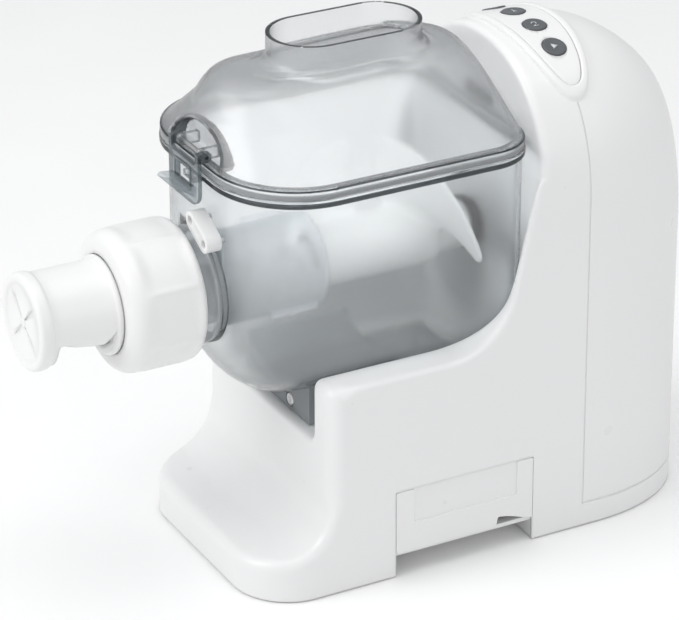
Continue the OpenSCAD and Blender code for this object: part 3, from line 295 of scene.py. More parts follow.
def settle(f, v, h, rounds=3):
    """Moves points onto the surface where f is zero."""
    e = 0.05
    v = v.copy()
    start = v.copy()
    for _ in range(rounds):
        x, y, z = v.T
        val = f(x, y, z)
        g = np.stack([
            (f(x + e, y, z) - f(x - e, y, z)), (f(x, y + e, z) - f(x, y - e, z)),
            (f(x, y, z + e) - f(x, y, z - e))], 1) / (2 * e)
        size = np.maximum((g * g).sum(1), 0.05)
        v -= g * (val / size)[:, None]
        move = v - start
        far = np.linalg.norm(move, axis=1, keepdims=True)
        v = start + move * np.minimum(1, 0.9 * h / np.maximum(far, 1e-9))
    return v


def kept(name, verts, quads, keep=None):
    """An object from all the quads, or from those whose centres keep() says yes to."""
    if keep:
        quads = quads[keep(verts[quads].mean(1))]
    used, q = np.unique(quads, return_inverse=True)
    return make(name, verts[used], q.reshape(-1, 4))


def slice_mesh(ob, planes):
    """Cuts edges where a plane crosses. planes: (point, normal, which faces, by centre in mm)."""
    bm = bmesh.new()
    bm.from_mesh(ob.data)
    for co, no, where in planes:
        faces = [f for f in bm.faces if where(f.calc_center_median() / MM)]
        geom = list({e for f in faces for e in f.edges} | {v for f in faces for v in f.verts} | set(faces))
        bmesh.ops.bisect_plane(bm, geom=geom, dist=1e-6, plane_co=Vector(co) * MM, plane_no=no)
    bm.to_mesh(ob.data)
    bm.free()


def drop(ob, gone):
    """Deletes the faces whose centres, in mm, gone() says yes to."""
    bm = bmesh.new()
    bm.from_mesh(ob.data)
    bad = [f for f in bm.faces if gone(f.calc_center_median() / MM)]
    bmesh.ops.delete(bm, geom=bad, context="FACES")
    loose = [v for v in bm.verts if not v.link_faces]
    bmesh.ops.delete(bm, geom=loose, context="VERTS")
    bm.to_mesh(ob.data)
    bm.free()


# ---- Housing -----------------------------------------------------------------------------
def draws(y):
    """How far the sides and the crown draw in at y."""
    s = np.clip((y - REAR_FROM) / (REAR - REAR_FROM), 0, 1)
    side = (HALF - FLAT) * (1 - (1 - s ** REAR_N) ** (1 / REAR_N))
    crown = FALL * (1 - (1 - s ** FALL_N) ** (1 / FALL_N))
    return side, crown


def arch_form(x, y, z):
    d, c = draws(y)
    ax = np.abs(x)
    w = HALF - d
    a = ARCH_Z - 0.97 * c
    h = CROWN - c - a
    side = ax - (w + (BASE - HALF) * (1 - np.clip(z / a, 0, 1)))
    u, v = ax / w, np.maximum((z - a) / h, 1e-6)
    rho = (u ** ARCH_N + v ** ARCH_N) ** (1 / ARCH_N)
    g = np.hypot(u ** (ARCH_N - 1) / w, v ** (ARCH_N - 1) / h) * rho ** (1 - ARCH_N)
    return np.where(z > a, (rho - 1) / np.maximum(g, 1e-4), side)


SCOOP = np.array([-80.0, 54.0])
CRADLE = np.array([TOWER - 59.1, 170.0])
side_line = np.vstack([
    [[-150, -30], [-150, 18.2]],
    arc(SCOOP, 28, -90, 0, 12),
    arc((-46, 122), 6, 180, 90, 6),
    arc(CRADLE, 42, -90, -10, 16),
    [[TOWER, ROOM_Z], [TOWER, 330], [260, 330], [260, -30]]])


def housing(x, y, z):
    ax = np.abs(x)
    draft = (BASE - HALF) * z / ARCH_Z
    body = np.maximum(arch_form(x, y, z), y - REAR)
    toe = corner(ax + draft - (BASE - TOE_R), TOE + TOE_R - y, TOE_R)
    body = np.maximum(body, np.where(y < 0, toe, -99))
    line = polygon_distance(side_line, y, z)
    r = 3.2 + 6.5 * step(-34, -46, y) * step(46, 62, z) + 2.5 * step(62, 46, z)
    f = rmax(body, line, r)
    # The room in front of the tower, for the foot and the bowl and then for the lid
    channel = corner(ax - 50, 94 - z, 6)
    tub = np.where(z < AXIS, np.hypot(x, z - AXIS), ax) - (BOWL_R + 0.8)
    cut1 = np.maximum(np.minimum(channel, tub), y - TOWER)
    cut2 = np.maximum(y - TOWER, ROOM_Z - z)
    r = 2.6 + 4.0 * step(215, 245, z)
    return rmax(f, -np.minimum(cut1, cut2), r)


GRID = 1.9
verts, quads = net(housing, (-82.3, -101, -3), (82.6, 205.5, 294.5), GRID)
verts = settle(housing, verts, GRID)
front = kept("housing_front", verts, quads, lambda c: (c[:, 1] < SEAM + 5) | (c[:, 2] < PLINTH + 5))
D0, D1, DZ0, DZ1 = -11.0, 80.0, 17.0, 55.0
SLOT_X0, SLOT_X1, SLOT_Z0, SLOT_Z1 = -13, 27, 251.5, 262.5
side = lambda c: c.x > 70 and c.y < 100 and c.z < 80
face = lambda c: abs(c.y - TOWER) < 3 and c.z > 215 and abs(c.x) < 45
slice_mesh(front, [
    ((0, 0, LIFT), (0, 0, 1), lambda c: c.z < 8),
    ((0, 0, PLINTH), (0, 0, 1), lambda c: c.y > SEAM - 8 and 8 < c.z < 24),
    ((0, SEAM - 0.12, 0), (0, 1, 0), lambda c: SEAM - 8 < c.y < SEAM + 8),
    ((0, D0, 0), (0, 1, 0), side), ((0, D1, 0), (0, 1, 0), side),
    ((0, 0, DZ1), (0, 0, 1), side),
    ((SLOT_X0, 0, 0), (1, 0, 0), face), ((SLOT_X1, 0, 0), (1, 0, 0), face),
    ((0, 0, SLOT_Z0), (0, 0, 1), face), ((0, 0, SLOT_Z1), (0, 0, 1), face)])
drop(front, lambda c: c.z < LIFT or (c.y > SEAM - 0.12 and c.z > PLINTH)
     or (c.x > 70 and D0 < c.y < D1 and c.z < DZ1)
     or (abs(c.y - TOWER) < 1 and SLOT_X0 < c.x < SLOT_X1 and SLOT_Z0 < c.z < SLOT_Z1)
     or (abs(c.x) < 38 and c.y > 103 and c.z > 250))
modify(front, "SOLIDIFY", thickness=WALL * MM, offset=-1)
applied(front)
rear = kept("housing_rear", verts, quads, lambda c: (c[:, 1] > SEAM - 5) & (c[:, 2] > PLINTH - 5))
planes = [((0, SEAM + 0.12, 0), (0, 1, 0), lambda c: c.y < SEAM + 8),
          ((0, 0, PLINTH + 0.2), (0, 0, 1), lambda c: c.z < PLINTH + 8)]
INLET = (-13.4, 13.4, 35.6, 56.4)
VENTS = [((i - 3) * 5 - 1.1, (i - 3) * 5 + 1.1, 104.0, 138.0) for i in range(7)]
for x0, x1, z0, z1 in [INLET] + VENTS:
    near = lambda c, x0=x0, x1=x1, z0=z0, z1=z1: (
        c.y > 190 and x0 - 4 < c.x < x1 + 4 and z0 - 4 < c.z < z1 + 4)
    planes += [((x0, 0, 0), (1, 0, 0), near), ((x1, 0, 0), (1, 0, 0), near),
               ((0, 0, z0), (0, 0, 1), near), ((0, 0, z1), (0, 0, 1), near)]
slice_mesh(rear, planes)
drop(rear, lambda c: c.y < SEAM + 0.12 or c.z < PLINTH + 0.2
     or (c.y > 190 and any(a < c.x < b and p < c.z < q for a, b, p, q in [INLET] + VENTS))
     or (abs(c.x) < 38 and c.y < 126 and c.z > 250))
modify(rear, "SOLIDIFY", thickness=WALL * MM, offset=-1)
applied(rear)

# ---- Bowl ----------------------------------------------------------------------------------
def plan_ring(w, y0, r0, y1, r1, n=14):
    """Closed outline in (x, y), from the middle of the front round by +X."""
    right = np.vstack([[[0, y0]], arc((w - r0, y0 + r0), r0, -90, 0, n),
                       arc((w - r1, y1 - r1), r1, 0, 90, n), [[0, y1]]])
    return np.vstack([right, right[-2:0:-1] * (-1, 1)])


def bowl_ring(g):
    return plan_ring(BOWL_R - g, BOWL_FRONT + g, BOWL_FR - g, BOWL_REAR - g, BOWL_RR - g)


def rim_ring(g):
    return plan_ring(RIM_HALF - g, RIM_FRONT + g, RIM_FR - g, RIM_REAR - g, RIM_RR - g)


def at(ring, z):
    return np.column_stack([ring, np.full(len(ring), z)])


def merged(name, parts, dist=0.002):
    """One object from several (points, quads) in mm, with points that meet merged."""
    bm = bmesh.new()
    for v, f in parts:
        vs = [bm.verts.new(p * MM) for p in np.asarray(v, float)]
        for q in f:
            q = list(dict.fromkeys(map(int, q)))
            if len(q) > 2:
                bm.faces.new([vs[i] for i in q])
    bmesh.ops.remove_doubles(bm, verts=bm.verts, dist=dist * MM)
    bmesh.ops.dissolve_degenerate(bm, dist=1e-7, edges=bm.edges)
    bmesh.ops.recalc_face_normals(bm, faces=bm.faces)
    return finished(name, bm)


def half_turn(ring, steps=48):
    """The outline's right half turned under the axis, as (points, quads)."""
    m = len(ring) // 2 + 1
    q = ring[:m]
    t = np.linspace(0, math.pi, steps + 1)[:, None]
    v = np.stack([q[:, 0] * np.cos(t), np.broadcast_to(q[:, 1], (steps + 1, m)),
                  AXIS - q[:, 0] * np.sin(t)], -1)
    return v.reshape(-1, 3), tube_faces(steps + 1, m, closed_u=False)


def skin(rings):
    m = len(rings[0])
    return np.vstack(rings), tube_faces(len(rings), m)


z0 = RIM_Z - RIM_H
rings = [at(bowl_ring(BOWL_T), z) for z in (AXIS, 190, 207, 224, 239, 244)]
for a in (0, 30, 60, 90):
    rings.append(at(bowl_ring(BOWL_T - 0.9 * (1 - math.cos(math.radians(a)))),
                    RIM_Z - 0.9 * (1 - math.sin(math.radians(a)))))
for a in (0, 30, 60, 90):
    rings.append(at(rim_ring(1.0 - math.sin(math.radians(a))), RIM_Z - 1.0 + math.cos(math.radians(a))))
for a in (0, 30, 60, 90):
    rings.append(at(rim_ring(1.0 - math.cos(math.radians(a))), z0 + 1.0 - math.sin(math.radians(a))))
for a in (0, 45, 90):
    rings.append(at(bowl_ring(-1.2 * (1 - math.sin(math.radians(a)))),
                    z0 - 1.2 * (1 - math.cos(math.radians(a)))))
rings += [at(bowl_ring(0), z) for z in (238, 224, 207, 190, AXIS)]
bowl = merged("bowl", [skin(rings), half_turn(bowl_ring(BOWL_T)), half_turn(bowl_ring(0))])
cut(bowl, [lathe("cutter", [(0.02, -110), (30.1, -110), (30.1, -80), (0.02, -80)], 96)])
ring_front = lathe("neck_ring", rounded([(30.1, -96), (34.4, -96), (34.4, -92.8), (30.1, -92.8)],
                                        [0.3, 1.1, 0, 0]), 96)
tooth = bevelled(extrude("tooth", [(-7, 237.5), (7, 237.5), (7, 241.4), (-7, 241.4)], -99.2, -93.2), 0.5, 2)
bowl_parts = [bowl, ring_front, tooth]

# ---- Lid -----------------------------------------------------------------------------------
BAND1, LID_TOP, CHUTE_Z, CHUTE_Y = 252.0, 295.5, 310.5, -2.0
LEAN = 0.01745  # The lid's top rises by this much a mm towards the rear
DOME_IN, DOME_HALF, DOME_FRONT, DOME_REAR = 1.2, 24, -70, 57  # Inset at the rim, and the sides at the top
CHUTE_HALF, CHUTE_R = 21, 25
RECESS_HALF, RECESS_H = 29, 18


def dome(x, y, z):
    h = LID_TOP - BAND1
    s = np.clip((z - BAND1) / h, 0, 1)
    s = np.clip((z - BAND1 - (y - CHUTE_Y) * LEAN * s) / h, 0, 1)
    u = np.sqrt(np.clip(1 - (s ** (1 / 2.3)) ** 2, 0, 1))
    side, fore, aft = 1 - u ** 1.6, 1 - u ** 0.6, 1 - u ** 0.7
    w = RIM_HALF - DOME_IN + (DOME_HALF - RIM_HALF + DOME_IN) * side
    ya = RIM_FRONT + DOME_IN + (DOME_FRONT - RIM_FRONT - DOME_IN) * fore
    yb = RIM_REAR - DOME_IN + (DOME_REAR - RIM_REAR + DOME_IN) * aft
    rf = np.minimum(w - 0.5, RIM_FR - 0.5)
    rr = np.minimum(w - 0.5, RIM_RR - 0.5)
    r = np.where(y < (ya + yb) / 2, rf, rr)
    qy = np.where(y < (ya + yb) / 2, ya + r - y, y - yb + r)
    return corner(np.abs(x) - w + r, qy, r)


def even(f, e=0.6):
    """f over its slope, which is near the true distance."""
    def g(x, y, z):
        gx = f(x + e, y, z) - f(x - e, y, z)
        gy = f(x, y + e, z) - f(x, y - e, z)
        gz = f(x, y, z + e) - f(x, y, z - e)
        return f(x, y, z) / np.clip(np.sqrt(gx * gx + gy * gy + gz * gz) / (2 * e), 0.6, 6)
    return g


even_dome = even(dome)


def lid_form(x, y, z):
    f = rmax(even_dome(x, y, z), z - LID_TOP - (y - CHUTE_Y) * LEAN, 5)
    chute = corner(np.abs(x), np.maximum(np.abs(y - CHUTE_Y) - CHUTE_HALF, 0), CHUTE_R)
    f = rmin(f, np.maximum(chute, 270 - z), 5.0)
    e = np.hypot(x / RECESS_HALF, (z - BAND1 + 1) / RECESS_H)
    recess = np.maximum(np.maximum((e - 1) * RECESS_H, y + 87), BAND1 + 1 - z)
    return rmax(f, -recess, 2.6)


LGRID = 1.4
verts, quads = net(lid_form, (-80.7, -100.3, 249.3), (81, 84.5, 313.7), LGRID)
verts = settle(lid_form, verts, LGRID, 4)
lid = kept("lid", verts, quads, lambda c: c[:, 2] > BAND1 - 2.2)
slice_mesh(lid, [((0, 0, CHUTE_Z), (0, 0, 1), lambda c: c.z > CHUTE_Z - 4),
                 ((0, 0, BAND1 - 0.3), (0, 0, 1), lambda c: c.z < BAND1 + 4)])
drop(lid, lambda c: c.z > CHUTE_Z or c.z < BAND1 - 0.3)
modify(lid, "SOLIDIFY", thickness=2.4 * MM, offset=-1)
applied(lid)
rings = []
for g, z in ((6.8, 251.6), (6.8, 247), (6.2, 246.3), (1.2, 246.3), (0.7, 246.6), (0.5, 247.2),
             (0.5, 251.2), (0.7, 251.8), (1.2, 252.1), (6.2, 252.1)):
    rings.append(at(rim_ring(g), z))
v, f = skin(rings)
f = np.vstack([f, tube_faces(len(rings), len(rings[0]), True, True)[-len(rings[0]):]])
band = merged("band", [(v, f)])
HINGE = (-96.5, 256.5)  # The latch's line, in y and z
lugs = []
for s in (-1, 1):
    x0, x1 = sorted((s * 10, s * 14))
    line = np.vstack([arc(HINGE, 3.2, 90, 270, 10), [[-86, 253.3], [-86, 259.7]]])
    lugs.append(bevelled(extrude("lug", line, x0, x1, "x"), 0.4, 2))
lid_parts = [lid, band] + lugs

# ---- Latch ---------------------------------------------------------------------------------
plate = np.vstack([arc((-9, 236), 9, 180, 270, 8), arc((9, 236), 9, -90, 0, 8),
                   [[18, 247], [18, 257.5], [14.5, 259.5], [14.5, 252.5], [13, 251.5], [-13, 251.5],
                    [-14.5, 252.5], [-14.5, 259.5], [-18, 257.5], [-18, 247]]])
latch_window = rounded([(-8.5, 236), (8.5, 236), (8.5, 247.5), (-8.5, 247.5)], 1.5)
latch = extrude("latch", plate, -102.5, -99.5)
cut(latch, [extrude("cutter", latch_window, -106, -96)])
latch = bevelled(latch, 0.7, 3)
arms = []
for s in (-1, 1):
    x0, x1 = sorted((s * 14.4, s * 18))
    line = np.vstack([arc(HINGE, 3.2, -90, 90, 10),
                      [[-99.7, 259.7], [-102.5, 258.4], [-102.5, 253.5]]])
    arms.append(bevelled(extrude("arm", line, x0, x1, "x"), 0.5, 2))
lip_line = rounded([(-100.4, 231), (-100.4, 237.5), (-104, 239.2), (-111.5, 240), (-113, 238),
                    (-106, 235)], [0.5, 0.5, 2, 1.2, 1.2, 3], 4)
lip = bevelled(extrude("lip", lip_line, -12, 12, "x"), 0.5, 2)
rim_line = rounded([(-10.2, 234.4), (10.2, 234.4), (10.2, 249.2), (-10.2, 249.2)], 2.2)
frame_out = extrude("frame_out", rim_line, -103.3, -102.3)
cut(frame_out, [extrude("cutter", latch_window, -106, -96)])
latch_parts = [latch] + arms + [lip, bevelled(frame_out, 0.3, 2)]

# ---- Nozzle --------------------------------------------------------------------------------
FLUTE, FLUTE_FROM, FLUTE_DEEP, RIDGE = 45, 41.5, 1.3, 0.5


def ribs(r, y, a):
    """The nut's radius with its eight shallow flutes, and a low ridge between each two."""
    k = (np.degrees(a) - FLUTE_FROM) % FLUTE
    k = np.minimum(k, FLUTE - k)
    deep = FLUTE_DEEP * (1 - (k / (FLUTE / 2)) ** 2) - RIDGE * step(18.5, 22, k)
    along = step(NUT_FRONT + 9, NUT_FRONT + 17, y) * (1 - step(NUT_REAR - 8, NUT_REAR - 3, y))
    return np.where(r > NUT_R - 5, r - deep * along, r)


outline = [(28.5, NUT_FRONT + 3.5), (28.5, NUT_FRONT + 0.4), (28.9, NUT_FRONT)]
outline += [tuple(p) for p in arc((31.5, NUT_FRONT + 9.5), 9.5, -90, 0, 12)]
outline += [(NUT_R, y) for y in np.arange(NUT_FRONT + 11, NUT_REAR - 5, 2.0)]
outline += [tuple(p) for p in arc((NUT_R - 5, NUT_REAR - 5), 5, 0, 90, 8)]
outline += [(31.6, NUT_REAR), (31.6, NUT_FRONT + 3.5)]
nut = lathe("nut", outline, 240, radius=ribs)

outline = [(24, -144.5), (29.7, -144.8)]
for i in range(4):
    y = -139.8 + 6 * i
    outline += [(30, y - 0.4), (31.1, y + 0.3), (31.1, y + 1.7), (30, y + 2.4)]
outline += [(30, -99), (33.2, -99), (33.6, -98.6), (33.6, -96.8), (30, -96.6), (30, -89.6), (27, -89.6)]
outline += [(27, -29.4), (28.0, -29.0), (28.2, -28.4), (28.2, -26.6), (27.6, -26), (24.5, -26), (24, -26.4)]
barrel = lathe("barrel", outline, 128)
tabs = []
for a in (-42, 132):
    t = math.radians(a)
    line = [(24.5, -60), (31.2, -60), (31.2, -34), (29.5, -30), (24.5, -30)]
    tab = extrude("tab", rounded(line, [0, 1.5, 1.5, 1.5, 0]), -1.4, 1.4, "z")
    tab.data.transform(Matrix.Translation((0, 0, AXIS * MM)) @ Matrix.Rotation(-t, 4, "Y"))
    tabs.append(bevelled(tab, 0.5, 2))

outline = [(0.02, -200.2), (2.2, -200.4), (3, -201.2), (3.6, -201.0), (4.2, -200.8), (21.4, -200.8),
           (22, -201.2), (22.6, TIP)]
outline += [tuple(p) for p in arc((25.2, -199.2), 2.8, -85, 0, 8)]
outline += [(28, -196.6), (27.9, -195.2), (27.5, -194.2), (26.9, -193.7), (26.6, -193)]
outline += [(HOOD_R, y) for y in (-188, -180, -172, -164, -160)]
outline += [(HOOD_R, -158.4), (26.7, -157.3), (27.2, -156.6), (28.1, -156.2), (28.5, -155.6),
            (28.5, -153.9), (28.1, -153.5), (27.8, -152.0), (22.2, -152.0), (HOOD_INNER, -153),
            (HOOD_INNER, -196), (20, -198), (0.02, -198.2)]
hood = lathe("hood", outline, 144)
window_h = 25 * math.cos(math.radians(56))
line = np.vstack([[[-191, AXIS - 34]], arc((-187, AXIS - window_h - 4), 4, 180, 90, 6),
                  arc((-171, AXIS - window_h + 14), 14, -90, -35, 8),
                  [[-157, AXIS - 4], [-157, AXIS - 34]]])
# The window's higher edge on the right, wider towards the nut
flare = np.array([(-191, -34), (-191, -8.5), (-190.4, -6.6), (-188.5, -6.2), (-181, -9), (-170, -11.3),
                  (-164, -11.8), (-161.5, -11), (-159.6, -9.2), (-158.2, -6.6), (-157, -3.4),
                  (-157, -34)], float) + [0, AXIS]
cuts = [extrude("cutter", line, -32, 32, "x"), extrude("cutter", flare, 3, 33, "x")]
groove_line = rounded([(-17, AXIS - 0.8), (17, AXIS - 0.8), (17, AXIS + 0.8), (-17, AXIS + 0.8)], 0.7)
for a in (45, 135):
    groove = extrude("cutter", groove_line, -203, -200.0)
    groove.data.transform(Matrix.Translation((0, 0, AXIS * MM)) @ Matrix.Rotation(math.radians(a), 4, "Y")
                          @ Matrix.Translation((0, 0, -AXIS * MM)))
    cuts.append(groove)
cut(hood, cuts)
hub_dot = lathe("hub_dot", [(0.02, -201.7), (2.2, -201.6), (3, -201.1), (3.1, -199.9), (0.02, -199.9)], 32)
lug_line = rounded([(-30.5, AXIS - 3), (-25, AXIS - 3), (-25, AXIS + 3), (-30.5, AXIS + 3)], [2, 0, 0, 2])
lug = bevelled(extrude("lug", lug_line, -201.6, -195.4), 0.8, 3)
hood_parts = [hood, hub_dot, lug]

# ---- Paddle --------------------------------------------------------------------------------
BLADE_RISE, BLADE_TURN, BLADE_R, BLADE_ROOT, HUB_R = 27, 96, 61, 14.5, 18.5
BLADES = ((-10, 26.6), (238, -14))  # Where each starts: its angle and its y
PITCH = BLADE_RISE * 360 / BLADE_TURN
DEGREE, FULL_TURN = 0.01745, 6.283


def paddle_form(x, y, z):
    """A hub and two screw-shaped blades that rise by BLADE_RISE along Y over BLADE_TURN degrees."""
    z = z - AXIS
    r = np.hypot(x, z)
    f = rmax(rmax(r - HUB_R, y - 51.6, 3), -24.0 - y, 3)
    f = rmin(f, rmax(r - 14, y - 74.1, 0.5), 3)
    blades = None
    s = np.clip((r - BLADE_ROOT) / (BLADE_R - BLADE_ROOT), 0, 1)
    round_the_axis = np.degrees(np.arctan2(x, z)) + 26 * (1 - s) ** 1.5
    for start, y0 in BLADES:
        a = (round_the_axis - start + 120) % 360 - 120
        sheet = np.abs(y0 + a * BLADE_RISE / BLADE_TURN - y)
        slope = 1 / np.sqrt(1 + (PITCH / (FULL_TURN * np.clip(r, 10, 90))) ** 2)
        ends = np.maximum(-4 - a, a - BLADE_TURN - 4) * r * DEGREE
        b = rmax(sheet * slope - (1.9 - 0.7 * s), rmax(r - BLADE_R, ends, 9), 1.2)
        b = np.maximum(np.maximum(b, y0 - y), y - y0 - BLADE_RISE)
        blades = b if blades is None else np.minimum(blades, b)
    return rmin(f, blades, 4)


PGRID = 1.3
verts, quads = net(paddle_form, (-63.3, -26.2, AXIS - 63.4), (63.5, 76.5, AXIS + 63.5), PGRID)
verts = settle(paddle_form, verts, PGRID)
paddle = kept("paddle", verts, quads)
journal = lathe("journal", rounded([(6.5, 74.1), (10.9, 74.1), (10.9, 80.5), (6.5, 80.5)],
                                   [0, 0.2, 0.6, 0.4]), 64)

# ---- Clip above the neck ---------------------------------------------------------------------
clip = extrude("clip", np.vstack([arc((8.5, 0), 5.6, -90, 90, 16), arc((-8.5, 0), 5.6, 90, 270, 16)]), 0, 9)
holes = []
for s in (-9, 9):
    holes.append(extrude("cutter", arc((s, 0), 1.6, 0, 345, 23), -2, 12))
    holes.append(extrude("cutter", arc((s, 0), 2.5, 0, 345, 23), 2.2, 12))
cut(clip, holes)
clip = bevelled(clip, 0.8, 3, 50)
lean = math.radians(26.6)
place = Vector((46.4 * math.sin(lean), -96.05, AXIS + 46.4 * math.cos(lean))) * MM
clip.data.transform(Matrix.Translation(place) @ Matrix.Rotation(lean, 4, "Y")
                    @ Matrix.Diagonal((1, -1, 1, 1)))
outward(clip)

# ---- Drawer ----------------------------------------------------------------------------------
face_line = rounded([(D0 + 0.4, 15.4), (55.4, 15.4), (56.6, 21.4), (62, 20.6), (68, 18.8), (74, 16.6),
                     (D1 - 0.4, 15.2), (D1 - 0.4, DZ1 - 0.4), (D0 + 0.4, DZ1 - 0.4)],
                    [1.2, 1.5, 1.2, 3, 3, 3, 0.5, 1.2, 1.2], 4)
shear = Matrix(((1, 0, (HALF - BASE) / ARCH_Z, BASE * MM), (0, 1, 0, 0), (0, 0, 1, 0), (0, 0, 0, 1)))
drawer = extrude("drawer", face_line, -5.2, 0.0, "x")
panel = rounded([(D0 + 12, DZ0 + 16), (D1 - 11, DZ0 + 16), (D1 - 11, DZ1 + 9), (D0 + 12, DZ1 + 9)],
                [2.2, 2.2, 0, 0], 5)
cut(drawer, [extrude("cutter", panel, -1.0, 6, "x")])
drawer = bevelled(drawer, 0.55, 3, 40)
drawer.data.transform(shear)
tray = extrude("tray", rounded([(-19.1, -4), (75, -4), (75, 73), (-19.1, 73)], [4, 0.3, 0.3, 4]), 22, 52, "z")
hollow = rounded([(-17.1, -2), (73.6, -2), (73.6, 71), (-17.1, 71)], [3, 0.3, 0.3, 3])
cut(tray, [extrude("cutter", hollow, 24, 60, "z")])
tray = bevelled(tray, 0.5, 2)

# ---- Control strip -----------------------------------------------------------------------------
def arch_at(x, g=0.0):
    t = np.clip(np.abs(x) / (HALF + g), 0, 1)
    return ARCH_Z + (CROWN - ARCH_Z + g) * (1 - t ** ARCH_N) ** (1 / ARCH_N)


def lens(half, wide, a):
    return np.stack([half * np.cos(a), wide * np.sign(np.sin(a)) * np.abs(np.sin(a)) ** 0.8], -1)


def on_strip(p, h):
    """Points of the strip at height h over the tower, from flat points about its middle."""
    x, y = p[..., 0], p[..., 1] + SEAM
    return np.stack([x, y, arch_at(x, h)], -1)


turn = np.linspace(0, 2 * math.pi, 181)[:-1]
rings = []
for u, h in ((0, -0.4), (0, 1.3), (0.05, 1.8), (0.14, 2.2), (0.28, 2.4), (0.72, 2.4), (0.86, 2.3),
             (0.95, 2.05), (1, 1.7), (1, 0.2)):
    p = lens(60, 20, turn) * (1 - u) + lens(55.5, 15.5, turn) * u
    rings.append(on_strip(p, h))
bezel = merged("bezel", [(np.vstack(rings), tube_faces(len(rings), len(turn)))])
rings = []
for s, h in [(1, 0.2), (1, 1.5), (0.992, 1.8), (0.975, 1.9)] + [(k / 14, 1.9) for k in range(13, 0, -1)]:
    rings.append(on_strip(lens(55.1, 15.1, turn) * s, h))
v, f = np.vstack(rings), tube_faces(len(rings), len(turn))
middle = len(v)
v = np.vstack([v, on_strip(np.zeros((1, 2)), 1.9)])
last = (len(rings) - 1) * len(turn)
cap = [(last + i, last + (i + 1) % len(turn), middle, middle) for i in range(len(turn))]
plate_top = merged("plate", [(v, np.vstack([f, cap]))])
modify(plate_top, "SOLIDIFY", thickness=1.6 * MM, offset=-1)
applied(plate_top)


def arch_frame(x):
    """Matrix of a place on the strip, Z square to the tower."""
    e = 0.05
    slope = (arch_at(x + e) - arch_at(x - e)) / (2 * e)
    return (Matrix.Translation(Vector((x, SEAM, float(arch_at(x)))) * MM)
            @ Matrix.Rotation(-math.atan(slope), 4, "Y"))


def mark_shapes(i):
    """Plain generic marks: a power ring, the numbers 1 and 2, and a play triangle."""
    def ringed(r, t, a0, a1, n=28):
        return np.vstack([arc((0, 0), r + t / 2, a0, a1, n), arc((0, 0), r - t / 2, a1, a0, n)])

    def bar(x0, y0, x1, y1):
        return np.array([(x0, y0), (x1, y0), (x1, y1), (x0, y1)], float)
    return [
        [ringed(2.3, 0.55, 125, 415), bar(-0.28, 0.6, 0.28, 3.1)],
        [bar(-0.3, -2.2, 0.3, 2.2), bar(-1.2, -2.5, 1.2, -1.95)],
        [ringed(1.5, 0.55, 180, -40, 18) + (0, 0.9), bar(-1.6, -2.6, 1.7, -2.05),
         np.array([(1.05, -0.2), (1.5, 0.15), (-0.9, -2.1), (-1.5, -2.1)])],
        [np.array([(-1.5, -2.2), (2.3, 0), (-1.5, 2.2)])],
    ][i]


BUTTON_X = (-32.5, -11.4, 11.4, 32.5)
buttons, marks = [], []
for i, x in enumerate(BUTTON_X):
    cap_line = [(0.02, -1), (7, -1), (7, 1.75), (6.9, 2.15), (6.6, 2.42), (6.1, 2.5), (5.4, 2.5)]
    cap_line += [(r, 2.5 - 0.35 * (1 - (r / 5.4) ** 2)) for r in (4.5, 3.6, 2.7, 1.8, 0.9, 0.02)]
    p = np.array(cap_line)
    a = np.linspace(0, 2 * math.pi, 64, endpoint=False)
    v = np.stack([p[:, :1] * np.cos(a), p[:, :1] * np.sin(a), np.repeat(p[:, 1:], 64, 1)], -1).reshape(-1, 3)
    b = make("button_cap_%d" % (i + 1), v, tube_faces(len(p), 64, True, False))
    outward(b)
    b.data.transform(arch_frame(x))
    buttons.append(b)
    shapes = []
    for s in mark_shapes(i):
        s = s @ np.array([[0, 1], [-1, 0]]) * 0.95
        n = len(s)
        v = np.vstack([np.column_stack([s, np.full(n, 2.3)]), np.column_stack([s, np.full(n, 2.56)])])
        f = [tuple(range(n, 2 * n)), tuple(range(n - 1, -1, -1))]
        f += [(k, (k + 1) % n, n + (k + 1) % n, n + k) for k in range(n)]
        shapes.append(make("mark", v, f, smooth=False))
    m = join("mark_%d" % (i + 1), shapes)
    outward(m)
    m.data.transform(arch_frame(x))
    marks.append(m)
holes = []
for x in BUTTON_X:
    h = extrude("cutter", arc((0, 0), 7.4, 0, 352.5, 47), -6, 12, "z")
    h.data.transform(arch_frame(x))
    holes.append(h)
cut(plate_top, holes)

# ---- Foot under the bowl ---------------------------------------------------------------------
FOOT_SCREW = (16, FOOT_Z + 6)
foot_line = rounded([(-FOOT_HALF, FOOT_Z), (FOOT_HALF, FOOT_Z), (FOOT_HALF, FOOT_TOP),
                     (-FOOT_HALF, FOOT_TOP)], [1.5, 1.5, 0, 0])
foot = extrude("foot", foot_line, FOOT_FRONT, 20)
rear_foot = extrude("rear_foot", [(-18, FOOT_Z), (18, FOOT_Z), (18, 104.5), (-18, 104.5)], 19.9, 60)
for part in (foot, rear_foot):
    cut(part, [lathe("cutter", [(0.02, -99), (BOWL_R + 0.1, -99), (BOWL_R + 0.1, 85), (0.02, 85)], 160)])
cut(foot, [extrude("cutter", arc(FOOT_SCREW, 4.5, 0, 348, 29), -49, -44)])
foot = bevelled(foot, 0.6, 3)
screw_line = [(0.02, -45.0), (1.2, -45.0), (1.3, -45.9), (2.9, -46.0), (3.7, -45.6), (4.0, -44.8), (4.0, -44),
              (0.02, -44)]
foot_screw = lathe("screw_head", screw_line, 48, axis=FOOT_SCREW)
foot_parts = [foot, rear_foot]

# ---- Materials -------------------------------------------------------------------------------
def nodes_of(name):
    m = bpy.data.materials.new(name)
    m.use_nodes = True
    nt = m.node_tree
    return m, nt, nt.nodes["Principled BSDF"]


def add(nt, kind, **values):
    n = nt.nodes.new("ShaderNode" + kind)
    for k, v in values.items():
        if k in n.inputs:
            n.inputs[k].default_value = v
        else:
            setattr(n, k, v)
    return n


